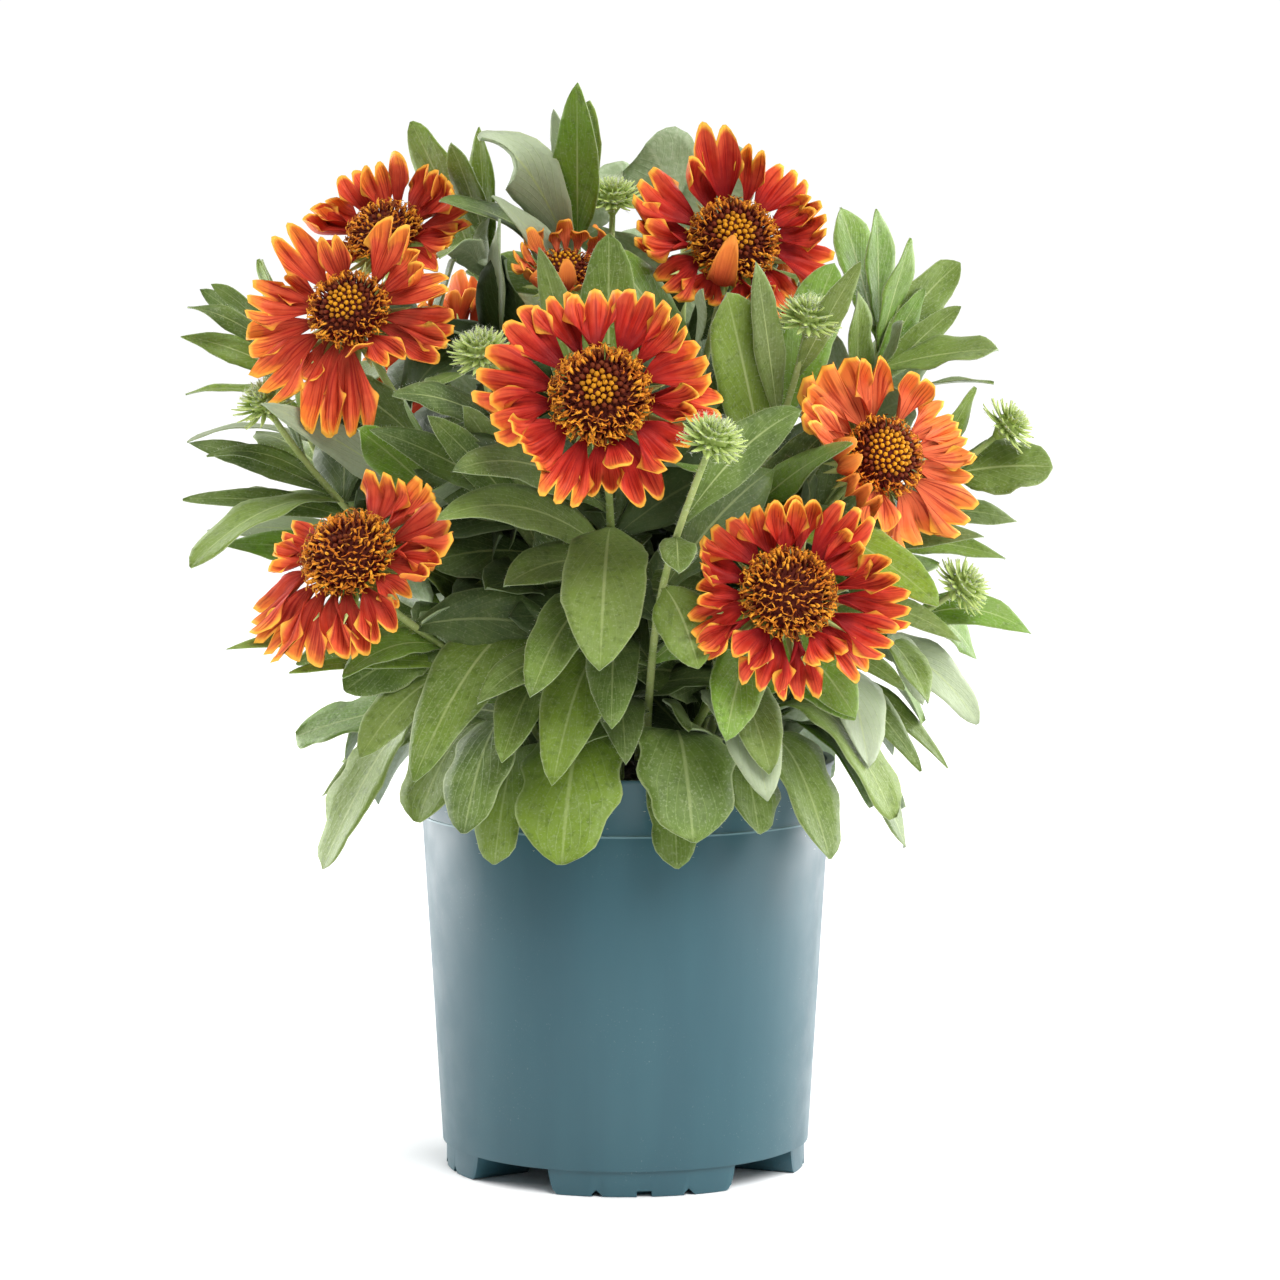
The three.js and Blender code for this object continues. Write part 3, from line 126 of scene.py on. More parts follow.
# A leaf is (node height, tip, width, arch, shape) on its stem. Without a shape it is slim.
LEAVES = {
    "shoot_1": [
        (370, (-19, -20, 435), 18, -0.05), (376, (-5, -21, 424), 14, 0, "round"),
        (384, (-29, 10, 426), 9, 0), (352, (-48, -30, 384), 12, 0.1),
        (357, (-57, -24, 413), 22, 0.35, "lance"), (362, (-64, -26, 400), 17, 0.15),
        (300, (-47, -45, 338), 18, 0.15),
    ],
    "shoot_3": [
        (364, (-59, 10, 419), 13, 0), (370, (-72, -2, 412), 14, 0.1), (356, (-80, -58, 366), 13, 0.22),
        (330, (-49, -50, 381), 17, 0.05), (350, (-86, 32, 422), 20, 0.05, "lance"),
        (318, (-79, -40, 314), 17, 0.15),
    ],
    "shoot_2": [
        (372, (8, 35, 413), 32, 0.36, "round"), (366, (53, 26, 407), 24, 0.3, "round"),
    ],
    "stem_2": [
        (352, (-80, -44, 396), 10, 0.1), (330, (-68, -24, 365), 18, 0.1),
    ],
    "stem_1": [
        (280, (-6, -76, 375), 21, 0.05, "round"), (270, (-33, -72, 370), 15, 0.05),
        (268, (-64, -122, 286), 18, 0.25), (250, (-70, -120, 268), 18, 0.25),
        (262, (-9, -142, 213), 30, 0.25, "lance"), (232, (-35, -130, 202), 20, 0.3, "lance"),
        (212, (-27, -122, 168), 24, 0.4, "lance"), (236, (25, -128, 216), 21, 0.25, "lance"),
        (190, (37, -112, 183), 17, 0.3), (200, (-55, -112, 187), 17, 0.3),
        (216, (-5, -118, 189), 19, 0.35, "lance"), (246, (-46, -95, 241), 18, 0.2),
    ],
    "stem_5": [
        (318, (6, -62, 382), 20, 0.05, "lance"), (300, (30, -90, 354), 15, 0.05),
        (290, (66, -36, 335), 19, 0.1, "lance"), (215, (-25, -84, 285), 17, 0.2),
        (262, (29, -92, 285), 20, 0.2, "lance"), (240, (56, -88, 266), 18, 0.2),
    ],
    "bud_d": [
        (285, (39, -86, 352), 24, 0.05, "round"), (300, (46, -90, 364), 12, 0.05),
        (318, (90, -86, 364), 11, 0.05), (296, (82, -44, 364), 22, 0.1, "lance"),
        (262, (86, -105, 296), 13, 0.1), (268, (121, -112, 247), 22, 0.16, "lance"),
        (236, (83, -62, 303), 18, 0.15),
    ],
    "bud_a": [
        (266, (66, -128, 309), 17, 0.2), (262, (20, -152, 250), 13, 0.1),
        (242, (28, -124, 212), 20, 0.25, "lance"),
    ],
    "bud_b": [
        (302, (-88, -95, 314), 13, 0.15), (268, (-98, -74, 300), 14, 0.1),
        (262, (-74, -102, 306), 13, 0.05), (225, (-80, -110, 168), 27, 0.35, "lance"),
        (204, (-47, -121, 188), 20, 0.3, "lance"), (246, (-56, -92, 309), 16, 0.15),
    ],
    "shoot_4": [
        (328, (114, -12, 374), 18, 0.05), (336, (101, 2, 386), 18, 0.05),
        (332, (87, 12, 387), 23, 0.05, "lance"), (318, (121, 12, 354), 14, 0.05),
        (312, (136, 16, 347), 12, 0.1), (322, (151, -2, 330), 22, 0.06, "lance"),
        (306, (146, -26, 317), 13, 0.15), (309, (110, -30, 341), 13, 0.1), (296, (92, -30, 353), 18, 0),
    ],
    "bud_e": [
        (280, (171, -12, 283), 27, 0.08, "round"), (268, (139, -26, 315), 16, 0.05),
        (262, (159, 12, 260), 13, 0.15), (250, (153, -6, 246), 12, 0.15),
    ],
    "stem_6": [
        (250, (141, -44, 257), 15, 0.1), (205, (108, -78, 200), 17, 0.3), (226, (131, -60, 217), 15, 0.25),
    ],
    "bud_f": [
        (222, (162, -22, 217), 15, 0.3), (212, (141, -24, 181), 20, 0.36, "lance"),
        (198, (131, 4, 160), 11, 0.3), (216, (119, -52, 192), 17, 0.3),
        (206, (95, -64, 168), 23, 0.35, "lance"), (226, (142, 0, 205), 15, 0.2),
        (218, (118, -46, 192), 16, 0.3), (196, (117, -42, 164), 16, 0.4),
    ],
    "stem_7": [
        (212, (88, -97, 190), 20, 0.3, "lance"), (218, (38, -126, 185), 20, 0.3, "lance"),
        (192, (54, -122, 162), 24, 0.5, "lance"), (196, (54, -118, 164), 21, 0.4, "lance"),
        (205, (43, -104, 190), 17, 0.3), (222, (88, -100, 191), 20, 0.3, "lance"),
    ],
    "tuft_1": [
        (156, (-24, -110, 136), 36, 1.05, "basal"),
    ],
    "tuft_2": [
        (156, (26, -113, 145), 34, 1, "basal"), (153, (20, -99, 133), 22, 1.2, "toothed"),
    ],
    "tuft_3": [
        (156, (79, -86, 135), 26, 1, "basal"), (153, (62, -93, 137), 22, 0.75, "basal"),
        (158, (101, -72, 148), 27, 1.05, "basal"),
    ],
    "tuft_4": [
        (156, (111, -44, 134), 30, 1, "toothed"), (153, (99, -60, 150), 17, 0.55, "basal"),
    ],
    "tuft_9": [
        (156, (-61, -110, 148), 25, 0.95, "basal"), (153.5, (-50, -94, 134), 24, 1.05, "toothed"),
        (158, (-80, -84, 149), 27, 1, "basal"),
    ],
    "stem_8": [
        (207, (-119, -56, 127), 28, 0.3, "toothed"), (198, (-120, -40, 154), 13, 0.15),
        (192, (-135, -24, 175), 30, 0.1, "basal"), (214, (-109, -66, 198), 24, 0.2, "lance"),
        (204, (-102, -84, 174), 20, 0.35, "lance"), (232, (-159, -22, 212), 12, 0.2),
        (222, (-128, -62, 208), 15, 0.2), (215, (-108, -92, 206), 15, 0.25),
    ],
    "bud_c": [
        (270, (-169, -62, 246), 22, 0.25, "lance"), (262, (-175, -32, 271), 11, 0.1),
        (284, (-172, -32, 312), 10, 0.05), (272, (-174, -18, 293), 10, 0.1),
        (240, (-162, -10, 252), 15, 0.1),
    ],
    "shoot_5": [
        (305, (-176, -20, 336), 12, 0.1), (313, (-175, -4, 348), 14, 0.1), (321, (-149, 16, 366), 13, 0.05),
        (319, (-174, 32, 354), 12, 0.1), (250, (-171, 20, 256), 13, 0.1),
    ],
    "stem_3": [
        (215, (-98, -70, 249), 15, 0.2), (236, (-127, -60, 233), 15, 0.2), (262, (-78, -84, 285), 15, 0.1),
        (250, (-140, -70, 310), 14, 0.1), (256, (-96, -76, 300), 19, 0.05, "lance"),
        (270, (-76, -88, 307), 13, 0),
    ],
}
# Leaves by rule: (stem, count, lowest node, highest node, length, width, spread in degrees).
FILL = [
    ("shoot_1", 3, 320, 384, 50, 20, 360), ("shoot_2", 5, 300, 374, 60, 23, 260),
    ("shoot_3", 4, 300, 368, 56, 22, 360), ("shoot_4", 5, 250, 330, 64, 23, 300),
    ("shoot_5", 5, 230, 318, 62, 22, 300), ("shoot_6", 8, 220, 346, 69, 25, 200),
    ("stem_9", 7, 190, 320, 73, 26, 240), ("stem_10", 7, 180, 300, 75, 26, 240),
    ("stem_11", 7, 179, 241, 67, 26, 220), ("bud_h", 6, 190, 308, 69, 25, 240),
    ("bud_i", 6, 180, 288, 69, 25, 240), ("bud_e", 4, 200, 280, 62, 22, 220),
    ("bud_g", 2, 330, 384, 48, 20, 360), ("stem_5", 5, 190, 345, 60, 23, 300),
    ("stem_2", 5, 230, 350, 60, 22, 260), ("stem_3", 5, 190, 300, 62, 23, 220),
    ("stem_6", 5, 185, 262, 64, 23, 240), ("stem_4", 4, 240, 345, 56, 21, 360),
    ("bud_c", 3, 200, 250, 62, 21, 200), ("bud_a", 3, 180, 240, 60, 23, 200),
    ("bud_d", 3, 200, 250, 60, 23, 240), ("stem_7", 2, 176, 190, 60, 23, 160),
    ("stem_8", 3, 174, 230, 60, 23, 200),
]
# Basal leaves by rule: (tuft, count, reach of the tips from the pot's axis, height of the tips).
BASAL_FILL = [
    ("tuft_5", 5, 112, 138), ("tuft_6", 5, 113, 140), ("tuft_7", 5, 113, 138), ("tuft_8", 5, 114, 142),
    ("tuft_4", 2, 116, 150),
]
# The ways in which a leaf gives way to its neighbours: (turn, lift in degrees, length).
WAYS = [
    (0, 0, 1), (6, 0, 1), (-6, 0, 1), (0, 7, 1), (0, -7, 1), (10, 8, 0.96), (-10, 8, 0.96), (10, -8, 0.96),
    (-10, -8, 0.96), (0, 0, 0.85), (18, 0, 0.9), (-18, 0, 0.9), (0, 15, 0.9), (0, -14, 0.9), (26, 10, 0.85),
    (-26, 10, 0.85), (26, -8, 0.85), (-26, -8, 0.85), (0, 0, 0.7), (38, 0, 0.75), (-38, 0, 0.75),
    (0, 24, 0.75),
]
NEAR = 0.3  # how close to a corner of the part a leaf's tip is
FEWEST = 150  # leaves that the part has at least
# The first numbers for the draws of the leaves by rule.
SEEDS = {"fill": 700, "basal": 1900, "inner": 5000}
EVEN_RAYS = 10
# How each bloom is aged: how far its centre has opened, and how pale and how open its rays are.
AGES = {
    1: (0.62, 0.0, 1.0), 2: (0.85, 0.1, 1.1), 3: (0.52, 0.2, 1.0), 4: (0.45, 0.7, 1.7), 5: (0.55, 0.0, 1.1),
    6: (0.42, 0.75, 0.85), 7: (1.0, 0.0, 1.1), 8: (0.88, 0.15, 1.1), 9: (0.8, 0.1, 1.0), 10: (0.5, 0.2, 1.0),
    11: (0.9, 0.05, 1.0),
}
OUTLINES = {
    "lance": ((0, 0.1), (0.08, 0.17), (0.17, 0.44), (0.3, 0.8), (0.45, 0.97), (0.58, 1), (0.72, 0.93),
              (0.83, 0.76), (0.92, 0.49), (0.97, 0.27), (1, 0.03)),
    "slim": ((0, 0.12), (0.1, 0.3), (0.24, 0.72), (0.4, 0.96), (0.55, 1), (0.74, 0.8), (0.88, 0.5),
             (0.96, 0.22), (1, 0.02)),
    "round": ((0, 0.1), (0.1, 0.34), (0.2, 0.68), (0.34, 0.94), (0.6, 1), (0.76, 0.9), (0.88, 0.7),
              (0.96, 0.38), (1, 0.04)),
    "basal": ((0, 0.09), (0.2, 0.14), (0.34, 0.3), (0.46, 0.58), (0.6, 0.9), (0.72, 1), (0.83, 0.99),
              (0.92, 0.84), (0.97, 0.56), (1, 0.1)),
    "toothed": ((0, 0.09), (0.2, 0.13), (0.36, 0.36), (0.46, 0.74), (0.51, 0.92), (0.55, 0.74), (0.62, 0.84),
                (0.68, 1.02), (0.73, 0.82), (0.79, 0.92), (0.84, 1.0), (0.88, 0.76), (0.92, 0.74),
                (0.96, 0.62), (0.985, 0.4), (1, 0.08)),
}
HANGING = ("basal", "toothed")
# The blooms with twice the rays that the part has.
DOUBLED = (4, 9, 10, 11)
FULLER = 1.1  # width of a leaf over the width it is given
# Where the tips of the leaves deep inside may be, and the number of the first of them.
INNER = {"tries": 420, "middle": 285.0, "height": 118.0, "radius": 122.0, "front": 78.0, "low": 170.0}
DEEP = 1000
# Small leaves that the part goes without, at the left and low at the back:
# (stem, node height, tip, width, arch, shape).
SPARE = [
    ("shoot_5", 321, (-176, 2, 347), 9, 0.2), ("shoot_5", 317, (-180, 12, 335), 11, 0.12),
    ("shoot_5", 306, (-177, 0, 312), 8, 0.2), ("shoot_5", 292, (-176, -6, 293), 7, 0.25),
    ("shoot_5", 322, (-168, 16, 356), 9, 0.18), ("shoot_5", 323, (-148, 22, 366), 8, 0.05),
    ("bud_c", 272, (-166, -27, 288), 7, 0.3), ("bud_c", 286, (-150, -10, 338), 8, 0.1),
    ("stem_8", 215, (-152, -95, 217), 9, 0.1), ("stem_8", 206, (-128, -96, 208), 8, 0.1),
    ("tuft_7", 172, (-80, 42, 181), 24, 0.1, "round"), ("tuft_6", 172, (80, 42, 183), 22, 0.1, "round"),
]
# Leaves that are silvery (0.92) or fresh green (0.45), found by where their tips are: (x, z, tone).
TONES = (
    (-57, 413, 0.92), (-64, 400, 0.92), (-48, 384, 0.92), (141, 181, 0.92), (95, 168, 0.92), (54, 164, 0.92),
    (-19, 435, 0.45), (-5, 424, 0.45), (121, 354, 0.45), (142, 205, 0.45), (162, 217, 0.45), (88, 191, 0.45),
    (-135, 175, 0.45),
)
UP = np.array([0.0, 0.0, 1.0])

# ---- sizes, in millimetres unless said otherwise -------------------------------------------
FEET_TOP = 10.2
FLOOR_TOP = 12.6
LEDGE = 143  # height of the step under the rim band
WALL = 2.0
TAPER = 8.0 / 132.8  # how fast the pot widens
# The feet and the drain holes in metres and degrees: the bearing of a foot, half a gap between two,
# and the notches of each foot as (bearing from its middle, width, tilt in radians).
FIRST_FOOT = -84
HALF_GAP = 14.5
FEET_RADIUS = 0.0729
NOTCHES = ((-14.5, 0.003, math.pi / 4), (0, 0.006, 0), (14.5, 0.003, math.pi / 4))
DRAIN = {"radius": 0.006, "reach": 0.058, "height": 0.0102}
# The gap between two feet: its height in metres and its width there over that at its top.
FLARE = ((-0.001, 1.32), (0.0006, 1.17), (0.0022, 1.1), (0.005, 1.05), (0.0096, 1.0))
# The mix: heights of its foot, of its shoulder and of its surface at the edge, the height and spread of
# the mound in its middle and the relief of its surface.
SOIL = {"foot": 12.9, "shoulder": 148.0, "edge": 151.0, "mound": 15.0, "spread": 42.0, "relief": 1.6}
SOIL_GAP = 1.3  # between the mix and the wall
ROOT_DEPTH = 10.0
STEM_THICKNESS = {"stem": 2.1, "bud": 1.9, "shoot": 2.1, "tuft": 3.4}
STEM_RADIUS = 0.9  # radius of a stem at its root over its thickness above
STEM_TAPER = 0.28
CROWN_HEIGHT = 19.0
WIDE_LEAF = 17.5  # a wider leaf has a finer blade
COLLAR = 8.0  # from a bloom's centre back to its collar
CUP_DEPTH = 9.0  # from the collar back to the end of the stem
BALL_DEPTH = 6.0  # from a bud's centre back to the end of its stem
# The ball of a bud: its rings of bracts as (count, radius, height, rise, length, width, sag), its
# profile, and the heights of its foot and top.
BALL = (
    [(16, 5.0, -2.4, -20, 8.0, 2.4, 0.25), (18, 5.6, -0.8, 4, 7.0, 2.1, 0.15),
     (18, 5.2, 1.2, 28, 5.6, 1.9, 0.0), (15, 4.0, 2.6, 52, 4.6, 1.7, -0.1),
     (12, 2.6, 3.5, 72, 3.6, 1.5, -0.1), (6, 1.0, 3.9, 84, 3.2, 1.3, 0.0)],
    ((0, 1.5), (0.2, 3.0), (0.45, 5.3), (0.7, 5.4), (0.9, 3.4), (1, 0.8)), -8.0, 4.4,
)
BROAD = 16.0  # a wider ray has three lobes
SLIM = 11.0  # a narrower ray is a single tongue
MIDDLING = 18  # radius of a middling disc
DOME = 0.73  # radius of the dome under the florets over that of the disc
DOME_RISE = 0.5  # height of the dome over the radius of the disc
DOME_FOOT = 2.4  # height of the dome's foot over the collar
DOME_ARC = math.radians(96)
GOLDEN_ANGLE = math.radians(137.508)
# The lens in millimetres, the camera's place in metres and how far it looks down, in radians.
CAMERA = {"lens": 119.07, "place": (0.00588, -1.7054, 0.3514), "dip": 0.0812}


# ---- settings ------------------------------------------------------------------------------
class PotSettings(bpy.types.PropertyGroup):
    """Sizes and finish of the pot."""

    segments: IntProperty(name="Segments", description="Facets round the pot", default=144, min=36)
    fillet: FloatProperty(name="Edge rounding", description="Radius of the moulded edges",
                          default=0.0005, subtype="DISTANCE", unit="LENGTH")
    color: FloatVectorProperty(name="Plastic", description="Colour of the plastic", size=3,
                               subtype="COLOR", default=(0.0245, 0.079, 0.102))


class SoilSettings(bpy.types.PropertyGroup):
    """Grain of the potting mix."""

    crumbs: IntProperty(name="Crumbs", description="Bits of bark and peat on the mix", default=520)
    size: FloatProperty(name="Crumb size", description="Length of a middling crumb",
                        default=0.0036, subtype="DISTANCE", unit="LENGTH")
    color: FloatVectorProperty(name="Peat", description="Colour of the moist mix", size=3,
                               subtype="COLOR", default=(0.022, 0.014, 0.009))


class LeafSettings(bpy.types.PropertyGroup):
    """Form and colour of the leaves and stems."""

    thickness: FloatProperty(name="Blade", description="Thickness of a leaf blade",
                             default=0.0007, subtype="DISTANCE", unit="LENGTH")
    wave: FloatProperty(name="Waves", description="Height of the margin's waves over the leaf's width",
                        default=0.045, subtype="FACTOR")
    hairs: IntProperty(name="Margin hairs", description="Hairs along each margin of a leaf", default=30)
    old: FloatVectorProperty(name="Grown leaf", description="Upper face of a grown leaf", size=3,
                             subtype="COLOR", default=(0.097, 0.145, 0.022))
    young: FloatVectorProperty(name="Young leaf", description="Upper face of a young leaf", size=3,
                               subtype="COLOR", default=(0.19, 0.3, 0.014))
    down: FloatVectorProperty(name="Underside", description="Downy lower face of a leaf", size=3,
                              subtype="COLOR", default=(0.27, 0.35, 0.19))
    stem: FloatVectorProperty(name="Stem", description="Colour of the stems", size=3,
                              subtype="COLOR", default=(0.36, 0.42, 0.15))


class RaySettings(bpy.types.PropertyGroup):
    """Form and colour of the ray florets."""

    thickness: FloatProperty(name="Petal", description="Thickness of a ray floret",
                             default=0.0006, subtype="DISTANCE", unit="LENGTH")
    fuller: FloatProperty(name="Fuller", description="Spread of a ray over the width it is given",
                          default=1.15, subtype="FACTOR")
    notch: FloatProperty(name="Lobes", description="Depth of the cuts between lobes over the ray's length",
                         default=0.25, subtype="FACTOR")
    throat: FloatVectorProperty(name="Throat", description="Colour at a ray's narrow claw", size=3,
                                subtype="COLOR", default=(0.2, 0.004, 0.006))
    blade: FloatVectorProperty(name="Blade", description="Colour of a ray's middle", size=3,
                               subtype="COLOR", default=(0.5, 0.03, 0.017))
    edge: FloatVectorProperty(name="Edge", description="Colour of a ray's lobed edge", size=3,
                              subtype="COLOR", default=(0.95, 0.5, 0.06))


class DiscSettings(bpy.types.PropertyGroup):
    """Florets of the disc."""

    florets: IntProperty(name="Florets", description="Disc florets on a middling bloom", default=290)
    tip: FloatVectorProperty(name="Tip", description="Colour of the open florets' tips", size=3,
                             subtype="COLOR", default=(0.76, 0.2, 0.016))
    core: FloatVectorProperty(name="Core", description="Colour between the florets", size=3,
                              subtype="COLOR", default=(0.05, 0.008, 0.006))


class StageSettings(bpy.types.PropertyGroup):
    """Floor, light and camera."""

    floor: FloatVectorProperty(name="Floor", description="Colour of the floor", size=3,
                               subtype="COLOR", default=(0.96, 0.96, 0.96))
    sun: FloatProperty(name="Key light", description="Strength of the large soft light above the front",
                       default=3.05)
    boxes: FloatProperty(name="Side lights", description="Power of the two soft boxes behind the plant",
                         default=72.0, unit="POWER")
    fill: FloatProperty(name="Side fill", description="Power of the soft box at the right of the camera",
                        default=7.0, unit="POWER")
    behind: FloatProperty(name="Backdrop", description="Strength of the white surroundings behind",
                          default=1.04)
    before: FloatProperty(name="Room", description="Strength of the dimmer surroundings in front",
                          default=0.34)


# ---- helpers -------------------------------------------------------------------------------
def chance(n):
    """A fixed draw between 0 and 1 for a number, or one for each of several."""
    v = np.sin(np.asarray(n, float) * 12.9898 + 4.1) * 43758.5453
    return v - np.floor(v)


def unit(v):
    return v / np.linalg.norm(v, axis=-1, keepdims=True)


def bezier(controls, t):
    """Points of a Bezier curve at an array of shares."""
    t = np.asarray(t, float)[..., None]
    rows = [np.asarray(c, float) + 0 * t for c in controls]
    while len(rows) > 1:
        rows = [a * (1 - t) + b * t for a, b in zip(rows, rows[1:])]
    return rows[0]


def tangent(controls, t):
    """Unit tangents of a Bezier curve at an array of shares."""
    return unit(bezier(np.diff(np.asarray(controls, float), axis=0), t))


def smooth(t):
    t = np.clip(t, 0, 1)
    return t * t * (3 - 2 * t)


def polar(reach, heading, rise):
    """The offset of a reach along a heading and raised from level, both in radians."""
    flat = reach * math.cos(rise)
    return np.array([flat * math.cos(heading), flat * math.sin(heading), reach * math.sin(rise)])


def clear():
    """Deselects every object."""
    bpy.ops.object.select_all(action="DESELECT")


def take(piece):
    """Selects one object alone and makes it active."""
    clear()
    piece.select_set(True)
    bpy.context.view_layer.objects.active = piece


def bake(location=False, rotation=False, scale=False):
    """Puts the place, turn or scale of what is selected into its mesh."""
    bpy.ops.object.transform_apply(location=location, rotation=rotation, scale=scale)


def outward(piece):
    """Turns all faces of a closed object outwards."""
    take(piece)
    bpy.ops.object.mode_set(mode="EDIT")
    bpy.ops.mesh.select_all(action="SELECT")
    bpy.ops.mesh.normals_make_consistent(inside=False)
    bpy.ops.object.mode_set(mode="OBJECT")


def blade(along, across):
    """A flat closed blade to copy, from -1 to 1: x runs along it, y across it, and z is its two faces."""
    clear()
    bpy.ops.mesh.primitive_grid_add(x_subdivisions=along, y_subdivisions=across, size=2)
    made = bpy.context.object
    wall = made.modifiers.new("wall", "SOLIDIFY")
    wall.thickness = 2
    wall.offset = 0
    bpy.ops.object.modifier_apply(modifier=wall.name)
    return made


def rod(sides, rings):
    """A closed rod to copy, of radius 1, from z 0 to 1, cut into rings."""
    clear()
    bpy.ops.mesh.primitive_cylinder_add(vertices=sides, radius=1, depth=1, location=(0, 0, 0.5))
    bake(location=True)
    bpy.ops.object.mode_set(mode="EDIT")
    for k in range(1, rings):
        bpy.ops.mesh.select_all(action="SELECT")
        bpy.ops.mesh.bisect(plane_co=(0, 0, k / rings), plane_no=(0, 0, 1))
    bpy.ops.object.mode_set(mode="OBJECT")
    return bpy.context.object


def thorn():
    """A three-sided spike to copy, of radius 1 at z 0 and pointed at z 1."""
    clear()
    bpy.ops.mesh.primitive_cone_add(vertices=3, radius1=1, radius2=0, depth=1, location=(0, 0, 0.5))
    bake(location=True)
    return bpy.context.object


def lump():
    """A rough ball to copy, of radius 1."""
    clear()
    bpy.ops.mesh.primitive_ico_sphere_add(subdivisions=1, radius=1)
    return bpy.context.object


def points_of(template):
    """The template's vertices as three arrays."""
    flat = np.empty(len(template.data.vertices) * 3)
    template.data.vertices.foreach_get("co", flat)
    return flat.reshape(-1, 3).T


def repeat(name, template, shapes, material, **values):
    """An object that holds a copy of the template for each shape, an array of its vertices in
    millimetres. The values, one in all, one a copy or one for each of its vertices, are kept as
    attributes of the points."""
    mesh = template.data
    shapes = np.asarray(shapes, float).reshape(-1, len(mesh.vertices), 3)
    copies = len(shapes)
    corner = np.empty(len(mesh.loops), np.int32)
    mesh.loops.foreach_get("vertex_index", corner)
    start = np.empty(len(mesh.polygons), np.int32)
    mesh.polygons.foreach_get("loop_start", start)
    uv = np.empty(len(mesh.loops) * 2, np.float32)
    mesh.uv_layers[0].uv.foreach_get("vector", uv)
    step = np.arange(copies, dtype=np.int32)[:, None]
    made = bpy.data.meshes.new(name)
    made.vertices.add(copies * len(mesh.vertices))
    made.vertices.foreach_set("co", (shapes * MM).astype(np.float32).ravel())
    made.loops.add(copies * len(corner))
    made.loops.foreach_set("vertex_index", (corner + step * len(mesh.vertices)).ravel())
    made.polygons.add(copies * len(start))
    made.polygons.foreach_set("loop_start", (start + step * len(corner)).ravel())
    made.uv_layers.new(name="UVMap").uv.foreach_set("vector", np.tile(uv, copies))
    for key, value in values.items():
        value = np.asarray(value, float)
        full = np.broadcast_to(value.reshape(copies, -1) if value.size > 1 else value, shapes.shape[:2])
        kept = made.attributes.new(key, "FLOAT", "POINT")
        kept.data.foreach_set("value", full.astype(np.float32).ravel())
    made.update(calc_edges=True)
    made.shade_smooth()
    made.materials.append(material)
    piece = bpy.data.objects.new(name, made)
    bpy.context.collection.objects.link(piece)
    return piece


def joined(name, parts):
    """The parts as one object of that name."""
    take(parts[0])
    for part in parts:
        part.select_set(True)
    if len(parts) > 1:
        bpy.ops.object.join()
    parts[0].name = name
    parts[0].data.name = name
    return parts[0]


def settle(piece, node):
    """Puts a finished piece in the place of its node of the part."""
    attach(piece, "root")
    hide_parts(node)


def drop(*templates):
    for template in templates:
        bpy.data.objects.remove(template, do_unlink=True)


def spikes(template, base, way, length, radius):
    """Shapes of thin spikes from their bases, ways, lengths and radii."""
    x, y, z = points_of(template)
    base, way = np.asarray(base, float), unit(np.asarray(way, float))
    across = unit(np.cross(way, np.where(np.abs(way[:, 2:]) > 0.8, (1.0, 0.0, 0.0), UP)))
    over = np.cross(way, across)
    length = np.broadcast_to(length, len(base))[:, None, None]
    radius = np.broadcast_to(radius, len(base))[:, None, None]
    return (base[:, None] + way[:, None] * z[None, :, None] * length
            + (across[:, None] * x[None, :, None] + over[:, None] * y[None, :, None]) * radius)


